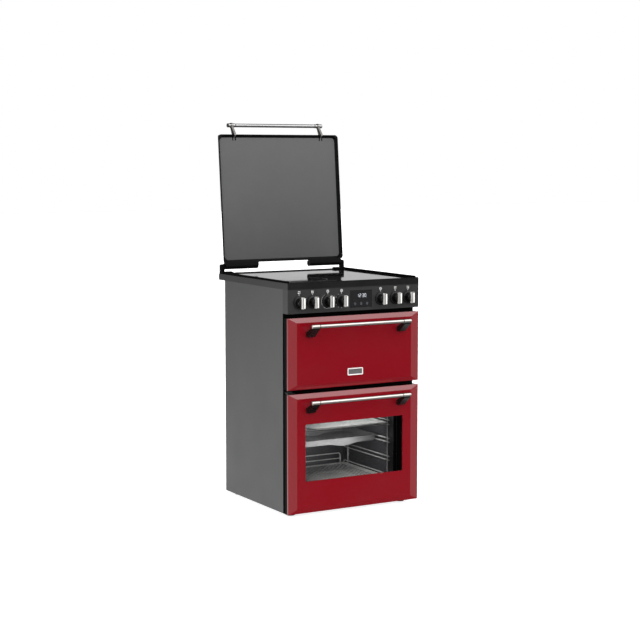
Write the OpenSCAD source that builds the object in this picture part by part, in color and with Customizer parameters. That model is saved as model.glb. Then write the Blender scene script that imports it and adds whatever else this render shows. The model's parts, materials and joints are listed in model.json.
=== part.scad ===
// Freestanding induction cooker with a grill door above, a side-hinged oven door
// below, seven control knobs, a four-zone glass hob and a fold-down lid.
// Millimetres, +Z up, and the front faces -Y. The origin is on the floor, under
// the middle of the cooker as it stands with its lid open.

/* [Body] */
// Width over the side panels
cooker_w = 600; // [590:5:620]
// Depth of the side panels
body_d = 495; // [480:5:520]
// Height of the oven door's lower edge above the floor
floor_gap = 15; // [15:1:25]
// Thickness of the side, back and base sheets
panel_t = 1.2; // [1:0.1:1.6]
// Thickness of the enamelled front frame
frame_t = 2; // [1.5:0.5:3]

/* [Front] */
// Height of the oven door
oven_door_h = 471; // [465:1:490]
// Height of the grill door
grill_door_h = 279; // [270:1:295]
// Height of the control panel
fascia_h = 93; // [90:1:100]
// Gap between the doors, and under the control panel
front_gap = 17; // [17:0.5:20]
// Depth of a door behind its outer edge
door_d = 36; // [35:0.5:37]
// Gap between a closed door and the front frame
seal_gap = 4; // [4:0.5:5]
// Width of the sloping border at a door's sides
side_bevel = 37.5; // [30:0.5:42]
// Width of the sloping border at a door's top and bottom
end_bevel = 18.5; // [15:0.5:20]
// How far a door's flat face stands in front of its outer edge
face_proud = 5; // [3:0.5:6]

/* [Ovens] */
// Inner width of both ovens
cavity_w = 420; // [410:5:430]
// Inner height of the main oven
main_cavity_h = 365; // [355:5:375]
// Inner height of the grill oven
top_cavity_h = 210; // [190:5:215]
// Inner depth of both ovens behind the front frame
cavity_d = 398; // [390:2:410]
// Thickness of the oven sheet
cavity_t = 1.5; // [1:0.5:2]
// Thickness of the insulation
wool_t = 22; // [15:1:24]
// Width of the oven window
window_w = 450; // [400:10:460]
// Height of the oven window
window_h = 226; // [200:2:240]
/* [Handles and knobs] */
// Length of a handle bar over its end ferrules
bar_len = 453.6; // [430:0.2:470]
// Diameter of a handle bar
bar_dia = 15; // [12:0.5:16]
// Distance of a bar's centre from the door face
bar_standoff = 52; // [46:1:56]
// Diameter of a knob's skirt
skirt_dia = 52; // [46:1:54]
// Height of a knob's grip bar
grip_h = 44; // [40:1:48]
// How far a knob's grip stands in front of the control panel
knob_reach = 45; // [40:1:48]

/* [Hob and lid] */
// How far the hob reaches behind the back panel
hob_past = 55; // [50:1:65]
// Height of the hob's edge
hob_h = 25; // [24:1:30]
// Thickness of the glass ceramic
glass_t = 4; // [4:0.5:5]
// Width of the lid
lid_w = 574; // [560:2:580]
// Length of the lid from its hinge side to its free edge
lid_len = 532; // [520:1:535]
// Thickness of the lid
lid_t = 18; // [16:1:20]
// How far the open lid leans back from upright, in degrees
lid_lean = 5; // [3:1:8]

/* [Hidden] */
$fn = 32;

// One overrun for every cut, and the clearances
over = 1;
fit_gap = 0.3;
pin_gap = 0.08;

// Colours
enamel_red = "#8a1622";
black_paint = "#1c1c1e";
black_gloss = "#101012";
grey_enamel = "#3c3c3e";
bare_steel = "#b4b6b8";
chrome_c = "#d8d8d4";
glass_c = "#22262a";
lens_c = "#d8d8c8";
wool_c = "#cfc7a8";
plastic_c = "#242426";
board_green = "#1d4a2c";
copper_c = "#b06a3c";

// Heights of the front
half_w = cooker_w / 2;
door_z = floor_gap;
grill_z = door_z + oven_door_h + front_gap;
fascia_z = grill_z + grill_door_h + front_gap;
body_top = fascia_z + fascia_h;
hob_top = body_top + hob_h;

// Depths behind the doors' outer edges
frame_y = door_d + seal_gap;
cavity_y = frame_y + frame_t;
cavity_back = cavity_y + cavity_d;
body_back = frame_y + body_d;
hob_d = body_back + hob_past;

// Handle bar: ferrule sizes and the height of the bar below a door's top
ferrule_len = 37;
ferrule_lip = 0.75;
ferrule_r = bar_dia / 2 + ferrule_lip;
bar_drop = 29.6;
bar_bracket_w = 28;
bar_bracket_in = 19;
bar_bracket_x = bar_len / 2 - bar_bracket_in;
bar_bracket_lip = 6;
bracket_t = 3;
bracket_foot_low = 44;
bracket_foot_high = 26;
bracket_foot_d = 19;

// Lid hinge: the axis lies above the hob, just before its rear edge
hinge_inset = 6.5;
hinge_rise = 30;
barrel_r = 13;
barrel_in = 124;
barrel_out = 278;
barrel_gap = 0.2;
lid_plane = -16.1;
lid_start = barrel_r + barrel_gap;
lid_end = lid_start + lid_len;
lid_r = 15;
lid_rim_w = 3;
lid_rim_t = 3;
lid_wall_in = 12;
lid_back_in = 9;
lid_recess = 12;
lid_panel_t = 4;
lid_skin_t = 1.2;
lid_ledge = 4;
lid_bar_past = 40.4;
lid_bar_rise = 15.5;
lid_bar_y = lid_end + lid_bar_past;
post_w = 9;
post_half = 6;
post_ring_t = 2.2;
clip_w = 7;
clip_t = 1.5;
clip_share = 0.85;
hinge_y = hob_d - hinge_inset;
hinge_z = hob_top + hinge_rise;
lid_turn = 90 + lid_lean;

// The origin is under the middle between the door bars and the rings on the lid's bar
front_reach = face_proud + bar_standoff + ferrule_r;
rear_reach = hinge_y + lid_bar_y * sin(lid_lean) + lid_bar_rise * cos(lid_lean) + ferrule_r + post_ring_t;
front_y = (front_reach - rear_reach) / 2;

// Doors
skin_t = 1.2;
skin_return = 8;
door_frame_inset = 1;
door_wall = 2;
door_back_t = 6;
door_chamfer = 6;
liner_t = 4;
liner_margin = 25;
window_up = 125;
window_z = door_z + window_up;
window_r = 5;
window_lip = 6;
glass_lap = 10;
outer_glass_t = 4;

// Grill door hinge: distance of the axis from the door's back and lower edge
grill_pivot_back = 16;
grill_pivot_up = 14;
grill_pivot_y = door_d - grill_pivot_back;
grill_pivot_z = grill_z + grill_pivot_up;
grill_pin_r = 3;
grill_ear_r = 7;
grill_ear_t = 4;
grill_ear_in = 46;
grill_ear_x = half_w - grill_ear_in;
grill_slot_w = 14;
grill_cheek_t = 3;
grill_cheek_r = 9;

// Oven door hinge: distance of the axis from the door's side and back edge
oven_pivot_in = 16;
oven_pivot_back = 19;
oven_pivot_x = -half_w + oven_pivot_in;
oven_pivot_y = door_d - oven_pivot_back;
oven_pin_r = 4;
oven_pin_len = 14;
oven_boss_r = 9;
oven_boss_h = 18;
hinge_plate_t = 2.5;
hinge_plate_w = 34;
hinge_plate_gap = 1;
hinge_plate_r = 10;
hinge_flange_h = 7;

// Oven interior
cavity_r = 12;
cavity_rim = 12;
main_floor_up = 50;
main_floor = door_z + main_floor_up;
main_mid = main_floor + main_cavity_h / 2;
top_floor_up = 34;
top_floor = grill_z + top_floor_up;
top_mid = top_floor + top_cavity_h / 2;
seal_margin = 14;
wire_r = 2;
rack_off = 4;
rack_front = 18;
rack_back = 22;
rack_post_in = 20;
pair_half = 8;
level_count = 4;
level_low = 41;
level_high = 102;
level_pitch = (main_cavity_h - level_low - level_high) / (level_count - 1);
first_level = main_floor + level_low;
rack_x = cavity_w / 2 - rack_off;
runner_off = 3.4;
runner_x = rack_x - runner_off;
weld = 0.6;
shelf_wire_r = 3;
shelf_rod_r = 1.25;
shelf_rods = 26;
shelf_front = 20;
shelf_back = 32;
shelf_corner = 12;
shelf_stop_h = 45;
shelf_stop_in = 22;
stop_mid_h = 22;
stop_mid_r = 1.6;
shelf_x = rack_x - wire_r - fit_gap - shelf_wire_r;
shelf_lift = sqrt(pow(wire_r + shelf_wire_r + fit_gap, 2) - pow(runner_x - shelf_x, 2));
tray_t = 1.5;
tray_h = 34;
tray_front = 108;
tray_slope = 8;
tray_flange = 9;
tray_sump_h = 10;
tray_sump_x = 45;
tray_sump_half = 75;
tray_points = 48;

// Fan, its cover and the ring element
cover_gap = 25;
cover_w = 290;
cover_h = 290;
cover_t = 1.2;
cover_r = 20;
cover_slots = 24;
slot_w = 5;
slot_in = 20;
slot_out = 62;
fan_r = 62;
fan_hub_r = 8;
fan_disc_t = 1.2;
fan_blades = 12;
fan_hub_past = 2;
blade_t = 1.2;
blade_d = 13;
blade_in = 26;
fan_front = 4;
fan_shaft_r = 3;
motor_r = 28;
motor_len = 30;
motor_plate = 72;
motor_plate_t = 1.5;
motor_gap = 6;
element_r = 3.3;
leg_r = 3.7;
ring_r = 92;
ring_sweep = 330;
ring_leg = 20;
fan_z = main_mid;
lamp_in = 32;
lamp_x = lamp_in - cavity_w / 2;
lamp_drop = 35.5;
lamp_z = main_floor + main_cavity_h - lamp_drop;
lamp_r = 20;
lamp_rim_r = 23;
lamp_rim_t = 4;
lamp_depth = 10;
lamp_body_len = 26;

// Grill element
grill_rows = 4;
grill_pitch = 46;
grill_len = 250;
grill_drop = 34;
grill_start = 60;

// Pan rails of the grill oven
rail_rib = 8;
rail_step = 40;

// Seals
seal_r = 1.7;

// Side panel, back panel and base
flange_w = 18;
base_lip = 20;
vent_rows = 8;
vent_pitch = 12;
vent_w = 180;
vent_x = 108;
vent_h = 4;
vent_z_share = 0.9;
vent_low_share = 0.2;
foot_in = 45;
foot_front_in = 22;
foot_back_in = 35;
foot_x = half_w - foot_in;
foot_front = frame_y + foot_front_in;
foot_back = body_back - foot_back_in;
foot_r = 18;
foot_edge = 0.8;
foot_pad_h = 8;
foot_neck_r = 12;
foot_stem_r = 5;
foot_stem_h = 34;
nut_r = 9;
nut_h = 5;

// Control panel
fascia_t = 2;
knob_drop = 50;
knob_z = body_top - knob_drop;
knob_x_shares = [-0.833, -0.635, -0.407, -0.2, 0.399, 0.629, 0.83];
knob_gap = 0.5;
skirt_t = 4;
hub_r = 19;
hub_tip_r = 16;
grip_w = 11;
grip_d = 16;
grip_r = 5;
knob_shaft_r = 3;
knob_shaft_len = 18;
bush_r = 5;
bush_len = 3;
knob_back = fascia_t - bush_len - knob_gap;
switch_w = 30;
switch_d = 22;
display_w = 101;
display_h = 68;
display_x = 29.6;
display_up = 46;
display_t = 3;
display_proud = 0.5;
display_r = 2;
module_margin = 6;
module_d = 16;

// Electronics above the ovens
deck_drop = 24;
deck_z = fascia_z - deck_drop;
deck_t = 1.2;
deck_lip = 12;
board_w = 190;
board_d = 150;
board_x = 150;
board_y = 130;
board_t = 1.6;
board_lift = 6;
stud_r = 3;
stud_in = 8;
sink_w = 120;
sink_d = 60;
sink_base = 5;
sink_h = 30;
fins = 12;
fin_t = 2;
blower_y = 390;
blower_r = 58;
blower_h = 44;
blower_wall = 2;
blower_floor = 2;
blower_eye_r = 34;
blower_mouth = 50;
wheel_r = 50;
wheel_h = 30;
wheel_blades = 20;
wheel_blade_d = 12;
wheel_disc_t = 1.5;
wheel_lift = 6;
wheel_shaft_r = 3;
wheel_boss_r = 8;

// Hob
hob_wall = 1.5;
glass_side = 14;
glass_front = 10;
glass_rear = 22;
ledge_w = 10;
ledge_t = 2;
rail_in = 9;
rail_t = 2;
rail_h = 4;
rail_front = 125;
rail_rear = 14;
rail_stop = 30;
coil_tray_t = 1.5;
coil_tray_up = 2;
coil_tray_z = body_top + coil_tray_up;
coil_lift = 10;
coil_t = 4;
coil_turns = 8;
coil_hub_r = 14;
coil_ridge = 1.6;
coil_x_share = 0.45;
coil_front_share = 0.27;
coil_rear_share = 0.7;
coil_big_r = 90;
coil_small_r = 72;
coil_foot_r = 5;

// Lid hinge brackets on the hob
lid_ear_in = 281;
lid_ear_out = 296;
lid_ear_half = 9;
lid_pin_r = 3.5;
lid_pin_in = 235;
lid_foot_in = 246;
lid_foot_t = 8;
lid_foot_d = 26;

// Mains terminal cover and cable clamp at the back
terminal_w = 96;
terminal_h = 76;
terminal_d = 34;
terminal_t = 2.5;
terminal_in = 100;
terminal_x = half_w - terminal_in;
terminal_up = 110;
terminal_z = door_z + terminal_up;
terminal_r = 8;
clamp_r = 14;
clamp_bore_r = 9;
clamp_len = 24;
clamp_in = 8;
clamp_collar_r = 18;

// Place behind the doors' outer edges
function at_y(depth) = front_y + depth;
function level_z(n) = first_level + (n - 1) * level_pitch;

// Block between two corners
module block(low, high) {
  translate(low) cube(high - low);
}

// Block that is even about the middle, between two depths and two heights
module wide_block(half, depths, heights) {
  block([-half, at_y(depths[0]), heights[0]], [half, at_y(depths[1]), heights[1]]);
}

// Flat outline with round corners, about its middle
module round_rect(w, h, r) {
  square([w - 2 * r, h], center = true);
  square([w, h - 2 * r], center = true);
  for (sx = [-1, 1], sy = [-1, 1]) {
    translate([sx * (w / 2 - r), sy * (h / 2 - r)]) circle(r);
  }
}

// Draws a front view outline back from one depth to another
module from_front(depths) {
  translate([0, at_y(depths[1]), 0]) rotate([90, 0, 0]) linear_extrude(depths[1] - depths[0]) children();
}

// Draws a side view outline, depth by height, from one x to another
module from_side(x0, x1) {
  translate([x0, front_y, 0]) rotate([90, 0, 90]) linear_extrude(x1 - x0) children();
}

// Draws a top view outline, x by depth, from one height to another
module from_top(z0, z1) {
  translate([0, front_y, z0]) linear_extrude(z1 - z0) children();
}

// Both sides of the cooker
module both_sides() {
  children();
  mirror([1, 0, 0]) children();
}

// Round bar along x, y or z from a point
module bar_x(p, len, r) {
  translate(p) rotate([0, 90, 0]) cylinder(h = len, r = r);
}
module bar_y(p, len, r) {
  translate(p) rotate([-90, 0, 0]) cylinder(h = len, r = r);
}

// Half turn of a wire that bends from +x over +y to -x
module u_bend(bend_r, r) {
  for (a = [0, 90]) rotate(a) rotate_extrude(angle = 90) translate([bend_r, 0]) circle(r);
}

// Side panel: a sheet folded in at its front and back edges
module side_panel() {
  color(black_paint) from_top(door_z, body_top) polygon([
    [half_w, frame_y],
    [half_w, body_back],
    [half_w - flange_w, body_back],
    [half_w - flange_w, body_back - panel_t],
    [half_w - panel_t, body_back - panel_t],
    [half_w - panel_t, cavity_y + panel_t],
    [half_w - flange_w, cavity_y + panel_t],
    [half_w - flange_w, cavity_y],
    [half_w - panel_t, cavity_y],
    [half_w - panel_t, frame_y]
  ]);
}
module side_panel_left() {
  mirror([1, 0, 0]) side_panel();
}
module side_panel_right() {
  side_panel();
}

// Slotted opening with round ends
module slot(len, h) {
  square([len - h, h], center = true);
  for (s = [-1, 1]) translate([s * (len - h) / 2, 0]) circle(h / 2);
}

// Back panel with two fields of vent slots
module back_panel() {
  height = body_top - door_z;
  color(bare_steel) from_front([body_back, body_back + panel_t]) difference() {
    translate([0, door_z + height / 2]) square([cooker_w - 2 * panel_t, height], center = true);
    for (share = [vent_z_share, vent_low_share], row = [0 : vent_rows - 1]) {
      vent_z = door_z + share * height + (row - (vent_rows - 1) / 2) * vent_pitch;
      for (s = [-1, 1]) translate([s * vent_x, vent_z]) slot(vent_w, vent_h);
    }
  }
}

// Base tray with upturned edges and a hole for each foot
module base_tray() {
  inner_w = half_w - panel_t;
  y0 = cavity_y + panel_t + pin_gap;
  y1 = body_back - panel_t;
  color(bare_steel) difference() {
    wide_block(inner_w, [y0, y1], [door_z, door_z + base_lip]);
    wide_block(inner_w - panel_t, [y0 + panel_t, y1 - panel_t], [door_z + panel_t, door_z + base_lip + over]);
    for (sx = [-1, 1], y = [foot_front, foot_back]) {
      translate([sx * foot_x, at_y(y), door_z - over]) cylinder(h = base_lip, r = foot_stem_r + pin_gap);
    }
  }
}

// Levelling feet: a pad, a neck, a threaded stem and a lock nut under the base
module levelling_feet() {
  nut_z = door_z - nut_h;
  color(black_paint) for (sx = [-1, 1], y = [foot_front, foot_back]) {
    translate([sx * foot_x, at_y(y), 0]) {
      rotate_extrude() polygon([
        [0, 0],
        [foot_r - foot_edge, 0],
        [foot_r, foot_edge],
        [foot_r, foot_pad_h / 2],
        [foot_neck_r, foot_pad_h],
        [foot_stem_r, foot_pad_h],
        [foot_stem_r, foot_stem_h],
        [0, foot_stem_h]
      ]);
      translate([0, 0, nut_z]) cylinder(h = nut_h, r = nut_r, $fn = 6);
    }
  }
}

// Front frame: one enamelled sheet with the two oven openings
module front_frame() {
  top = fascia_z + deck_lip;
  color(black_gloss) from_front([frame_y, cavity_y]) difference() {
    translate([0, (door_z + top) / 2]) square([cooker_w - 2 * panel_t, top - door_z], center = true);
    translate([0, main_mid]) round_rect(cavity_w, main_cavity_h, cavity_r);
    translate([0, top_mid]) round_rect(cavity_w, top_cavity_h, cavity_r);
  }
}

// Oven box, open at the front, with a rim that lies on the front frame
module oven_box(mid, height) {
  difference() {
    union() {
      from_front([cavity_y, cavity_back + cavity_t]) translate([0, mid])
        round_rect(cavity_w + 2 * cavity_t, height + 2 * cavity_t, cavity_r + cavity_t);
      from_front([cavity_y, cavity_y + cavity_t]) translate([0, mid])
        round_rect(cavity_w + 2 * cavity_rim, height + 2 * cavity_rim, cavity_r + cavity_rim);
    }
    from_front([cavity_y - over, cavity_back]) translate([0, mid]) round_rect(cavity_w, height, cavity_r);
  }
}

// Main oven, with holes for the fan shaft, the element's ends and the lamp
module main_oven_cavity() {
  leg_turn = (360 - ring_sweep) / 2;
  color(grey_enamel) difference() {
    oven_box(main_mid, main_cavity_h);
    bar_y([0, at_y(cavity_back - over), fan_z], cavity_t + 2 * over, fan_shaft_r + over);
    for (s = [-1, 1]) {
      bar_y([s * ring_r * sin(leg_turn), at_y(cavity_back - over), fan_z - ring_r * cos(leg_turn)],
        cavity_t + 2 * over, leg_r + pin_gap);
    }
    bar_y([lamp_x, at_y(cavity_back - over), lamp_z], cavity_t + 2 * over, lamp_r + pin_gap);
  }
}

// Grill oven, with a pressed rail on each side wall for a pan
module top_oven_cavity() {
  rail_z = top_floor + top_cavity_h / 3;
  leg_x = (grill_rows - 1) / 2 * grill_pitch;
  leg_z = top_floor + top_cavity_h - grill_drop;
  color(grey_enamel) difference() {
    union() {
      oven_box(top_mid, top_cavity_h);
      both_sides() for (up = [0, rail_step]) {
        from_front([cavity_y + rack_front, cavity_back - rack_front]) polygon([
          [cavity_w / 2, rail_z + up - rail_rib],
          [cavity_w / 2 - rail_rib, rail_z + up - rail_rib / 2],
          [cavity_w / 2 - rail_rib, rail_z + up],
          [cavity_w / 2, rail_z + up]
        ]);
      }
    }
    for (s = [-1, 1]) {
      bar_y([s * leg_x, at_y(cavity_back - over), leg_z], cavity_t + 2 * over, element_r + pin_gap);
    }
  }
}

// Round rope that follows a rectangle with round corners
module loop_seal(mid, height) {
  w = cavity_w + 2 * seal_margin;
  h = height + 2 * seal_margin;
  r = cavity_r + seal_margin;
  y = at_y(frame_y - seal_gap / 2);
  for (s = [-1, 1]) {
    bar_x([-w / 2 + r, y, mid + s * h / 2], w - 2 * r, seal_r);
    translate([s * w / 2, y, mid - h / 2 + r]) cylinder(h = h - 2 * r, r = seal_r);
  }
  for (q = [0 : 3]) {
    sx = (q == 0 || q == 3) ? 1 : -1;
    sz = q < 2 ? 1 : -1;
    translate([sx * (w / 2 - r), y, mid + sz * (h / 2 - r)])
      rotate([90, -90 * q, 0]) rotate_extrude(angle = 90) translate([r, 0]) circle(seal_r, $fn = 16);
  }
}
module door_seals() {
  color(plastic_c) {
    loop_seal(main_mid, main_cavity_h);
    loop_seal(top_mid, top_cavity_h);
  }
}

// Wire ladder on one side wall: two posts and a hairpin runner at each level
module side_rack() {
  y0 = cavity_y + rack_front;
  y1 = cavity_back - rack_back - pair_half;
  low = level_z(1) - 2 * pair_half;
  high = level_z(level_count) + 2 * pair_half;
  for (y = [y0 + rack_post_in, y1 - rack_post_in]) {
    translate([rack_x, at_y(y), low]) cylinder(h = high - low, r = wire_r);
    for (z = [low, high]) {
      translate([rack_x, at_y(y), z]) sphere(wire_r);
      bar_x([rack_x, at_y(y), z], rack_off - pin_gap, wire_r);
    }
  }
  for (n = [1 : level_count]) {
    for (s = [-1, 1]) {
      bar_y([runner_x, at_y(y0), level_z(n) + s * pair_half], y1 - y0, wire_r);
    }
    translate([runner_x, at_y(y1), level_z(n)]) rotate([0, 90, 0]) u_bend(pair_half, wire_r);
  }
}
module side_racks() {
  color(chrome_c) both_sides() side_rack();
}

// Wire shelf: a round frame, rods from front to back and a raised stop of two wires
module wire_shelf(level) {
  z = level_z(level) - pair_half + shelf_lift;
  y0 = cavity_y + shelf_front;
  y1 = cavity_back - shelf_back;
  c = shelf_corner;
  rod_z = z + shelf_wire_r + shelf_rod_r - weld;
  stop_x = shelf_x - shelf_stop_in;
  pitch = 2 * shelf_x / (shelf_rods + 1);
  for (s = [-1, 1]) {
    bar_y([s * shelf_x, at_y(y0 + c), z], y1 - y0 - 2 * c, shelf_wire_r);
  }
  for (s = [-1, 1]) {
    translate([-shelf_x + c, at_y(s > 0 ? y1 : y0), z]) rotate([0, 90, 0]) rotate(90 * s)
      cylinder(h = 2 * (shelf_x - c), r = shelf_wire_r);
  }
  for (q = [0 : 3]) {
    sx = (q == 0 || q == 3) ? 1 : -1;
    sy = q < 2 ? 1 : -1;
    y = sy > 0 ? y1 - c : y0 + c;
    translate([sx * (shelf_x - c), at_y(y), z]) rotate([0, 0, 90 * q])
      rotate_extrude(angle = 90) translate([c, 0]) circle(shelf_wire_r);
  }
  for (n = [1 : shelf_rods]) {
    bar_y([-shelf_x + n * pitch, at_y(y0 - shelf_rod_r), rod_z], y1 - y0 + 2 * shelf_rod_r, shelf_rod_r);
  }
  for (s = [0, 1]) {
    translate([(2 * s - 1) * stop_x, at_y(y1), z]) cylinder(h = shelf_stop_h - c, r = wire_r);
    translate([(2 * s - 1) * (stop_x - c), at_y(y1), z + shelf_stop_h - c]) rotate([90, s > 0 ? 0 : -90, 0])
      rotate_extrude(angle = 90) translate([c, 0]) circle(wire_r);
  }
  bar_x([-stop_x + c, at_y(y1), z + shelf_stop_h], 2 * (stop_x - c), wire_r);
  bar_x([-stop_x, at_y(y1), z + stop_mid_h], 2 * stop_x, stop_mid_r);
}
module oven_shelf_upper() {
  color(chrome_c) wire_shelf(level_count);
}
module oven_shelf_lower() {
  color(chrome_c) wire_shelf(1);
}

// Depth of the tray's floor at x: it dips softly into a sump
function sump(x) = abs(x) < tray_sump_half ? tray_sump_h * (1 + cos(180 * x / tray_sump_half)) / 2 : 0;

// Tray body, narrower at the bottom, with its sump right of the middle
module tray_body(inset, z, y0, y1, half) {
  floor_half = half - tray_slope - inset;
  floor_z = z - tray_h + tray_sump_h + inset;
  wave = [for (k = [0 : tray_points])
    let (x = -floor_half + k * 2 * floor_half / tray_points) [x, floor_z - sump(x - tray_sump_x)]];
  rise = inset > 0 ? over : 0;
  w = half - inset;
  intersection() {
    from_front([y0 - over, y1 + over])
      polygon(concat(wave, [[w, z], [w, z + rise], [-w, z + rise], [-w, z]]));
    from_side(-half - over, half + over) polygon([
      [y0 + inset, z + rise],
      [y0 + inset, z],
      [y0 + tray_slope + inset, z - tray_h],
      [y1 - tray_slope - inset, z - tray_h],
      [y1 - inset, z],
      [y1 - inset, z + rise]
    ]);
  }
}

// Roasting tray: its flanges ride on the upper wires of their runners
module roasting_tray() {
  y0 = cavity_y + tray_front;
  y1 = cavity_back - shelf_back;
  z = level_z(level_count - 1) + pair_half + wire_r + fit_gap + tray_t;
  half = rack_x - wire_r - fit_gap - tray_flange;
  color(bare_steel) difference() {
    union() {
      tray_body(0, z, y0, y1, half);
      wide_block(half + tray_flange, [y0 - tray_flange, y1], [z - tray_t, z]);
    }
    tray_body(tray_t, z, y0, y1, half);
  }
}

// Fan cover: a dished sheet with a round grille and side outlets
module fan_cover() {
  y0 = cavity_back - cover_gap;
  color(grey_enamel) difference() {
    from_front([y0, cavity_back]) translate([0, fan_z]) round_rect(cover_w, cover_h, cover_r);
    from_front([y0 + cover_t, cavity_back + over]) translate([0, fan_z])
      round_rect(cover_w - 2 * cover_t, cover_h - 2 * cover_t, cover_r - cover_t);
    from_front([y0 - over, y0 + cover_t + over]) translate([0, fan_z]) {
      for (n = [0 : cover_slots - 1]) rotate(n * 360 / cover_slots)
        translate([(slot_in + slot_out) / 2, 0]) slot(slot_out - slot_in, slot_w);
    }
    for (s = [-1, 1], up = [-1, 0, 1]) {
      block(
        [s * cover_w / 2 - 2 * cover_t, at_y(y0 + cover_gap / 3), fan_z + up * cover_h / 4 - slot_out / 2],
        [s * cover_w / 2 + 2 * cover_t, at_y(y0 + 2 * cover_gap / 3), fan_z + up * cover_h / 4 + slot_out / 2]
      );
    }
  }
}

// Oven fan: a disc with straight blades on a shaft that goes back to the motor
module oven_fan() {
  y0 = cavity_back - cover_gap + cover_t + fan_front;
  y1 = y0 + blade_d;
  shaft_end = cavity_back + cavity_t + motor_gap + motor_len / 2;
  color(bare_steel) {
    bar_y([0, at_y(y1), fan_z], fan_disc_t, fan_r);
    bar_y([0, at_y(y0), fan_z], blade_d + fan_disc_t + fan_hub_past, fan_hub_r);
    bar_y([0, at_y(y1), fan_z], shaft_end - y1, fan_shaft_r);
    for (n = [0 : fan_blades - 1]) {
      translate([0, at_y(y0), fan_z]) rotate([0, n * 360 / fan_blades, 0])
        translate([blade_in, 0, -blade_t / 2]) cube([fan_r - blade_in, blade_d + fan_disc_t / 2, blade_t]);
    }
  }
}

// Fan motor behind the oven, on a plate with two spacers
module fan_motor() {
  y0 = cavity_back + cavity_t;
  color(plastic_c) difference() {
    union() {
      from_front([y0 + motor_gap - motor_plate_t, y0 + motor_gap]) translate([0, fan_z])
        round_rect(motor_plate, motor_plate, cover_r);
      bar_y([0, at_y(y0 + motor_gap), fan_z], motor_len, motor_r);
      for (s = [-1, 1]) {
        bar_y([s * (motor_plate / 2 - stud_in), at_y(y0), fan_z], motor_gap, stud_r);
      }
    }
    bar_y([0, at_y(y0 - over), fan_z], motor_gap + motor_len / 2 + 2 * over, fan_shaft_r + pin_gap);
  }
}

// Ring element round the fan, with its two ends through the back wall
module ring_element() {
  leg_turn = (360 - ring_sweep) / 2;
  y = cavity_back - cover_gap / 2;
  color(plastic_c) {
    translate([0, at_y(y), fan_z]) rotate([90, -90 + leg_turn, 0])
      rotate_extrude(angle = ring_sweep) translate([ring_r, 0]) circle(element_r);
    for (s = [-1, 1]) {
      px = s * ring_r * sin(leg_turn);
      pz = fan_z - ring_r * cos(leg_turn);
      bar_y([px, at_y(y - leg_r), pz], leg_r + cover_gap / 2 + cavity_t + ring_leg, leg_r);
    }
  }
}

// Oven lamp: a domed lens and rim inside, the holder behind the wall
module oven_lamp() {
  body_end = -cavity_t - lamp_body_len;
  dome = [for (a = [0 : 15 : 90]) [lamp_r * cos(a), lamp_rim_t + lamp_depth * sin(a)]];
  color(lens_c) translate([lamp_x, at_y(cavity_back), lamp_z]) rotate([90, 0, 0]) rotate_extrude()
    polygon(concat(
      [[0, body_end], [lamp_r, body_end], [lamp_r, 0], [lamp_rim_r, 0], [lamp_rim_r, lamp_rim_t]],
      dome
    ));
}

// Grill element: one tube bent to and fro under the roof, with its ends at the back
module grill_element() {
  z = top_floor + top_cavity_h - grill_drop;
  y0 = cavity_y + grill_start;
  y1 = y0 + grill_len;
  color(plastic_c) {
    for (n = [0 : grill_rows - 1]) {
      x = (n - (grill_rows - 1) / 2) * grill_pitch;
      outer = n == 0 || n == grill_rows - 1;
      end = outer ? cavity_back + cavity_t + ring_leg : y1;
      bar_y([x, at_y(y0), z], end - y0, element_r);
    }
    for (n = [0 : grill_rows - 2]) {
      at_back = n % 2;
      translate([(n - grill_rows / 2 + 1) * grill_pitch, at_y(at_back ? y1 : y0), z])
        rotate(at_back ? 0 : 180) u_bend(grill_pitch / 2, element_r);
    }
  }
}

// Insulation: a sleeve round each oven
module insulation() {
  gap = cavity_t + fit_gap;
  y0 = cavity_y + 2 * cavity_t + fit_gap;
  y1 = cavity_back + cavity_t;
  color(wool_c) {
    for (part = [[main_mid, main_cavity_h], [top_mid, top_cavity_h]]) {
      from_front([y0, y1]) translate([0, part[0]]) difference() {
        round_rect(cavity_w + 2 * (gap + wool_t), part[1] + 2 * (gap + wool_t), cavity_r + wool_t);
        round_rect(cavity_w + 2 * gap, part[1] + 2 * gap, cavity_r + gap);
      }
    }
  }
}

// Control panel: a box open at the back, with holes for the knobs and the display
module fascia() {
  color(black_gloss) difference() {
    wide_block(half_w, [0, frame_y], [fascia_z, body_top]);
    wide_block(half_w - fascia_t, [fascia_t, frame_y + over], [fascia_z + fascia_t, body_top - fascia_t]);
    for (share = knob_x_shares) {
      bar_y([share * half_w, at_y(-over), knob_z], fascia_t + 2 * over, bush_r + pin_gap);
    }
    from_front([-over, fascia_t + over]) translate([display_x, fascia_z + display_up])
      square([display_w + 2 * pin_gap, display_h + 2 * pin_gap], center = true);
  }
}

// Display glass in its opening, and the module that carries it from behind
module display_glass() {
  color(glass_c) from_front([-display_proud, display_t - display_proud])
    translate([display_x, fascia_z + display_up]) round_rect(display_w, display_h, display_r);
}
module display_module() {
  y0 = max(fascia_t, display_t - display_proud);
  w = display_w + 2 * module_margin;
  h = display_h + 2 * module_margin;
  color(board_green) from_front([y0, y0 + module_d]) translate([display_x, fascia_z + display_up])
    square([w, h], center = true);
}

// Rotary switches behind the control panel, each with a bush through it
module rotary_switches() {
  shaft_room = 2 * bush_len + knob_back + knob_shaft_len + knob_gap;
  color(bare_steel) for (share = knob_x_shares) {
    difference() {
      union() {
        from_front([fascia_t, fascia_t + switch_d]) translate([share * half_w, knob_z])
          round_rect(switch_w, switch_w, bush_r);
        bar_y([share * half_w, at_y(fascia_t - bush_len), knob_z], bush_len + over, bush_r);
      }
      bar_y([share * half_w, at_y(-2 * bush_len), knob_z], shaft_room, knob_shaft_r + pin_gap);
    }
  }
}

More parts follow.
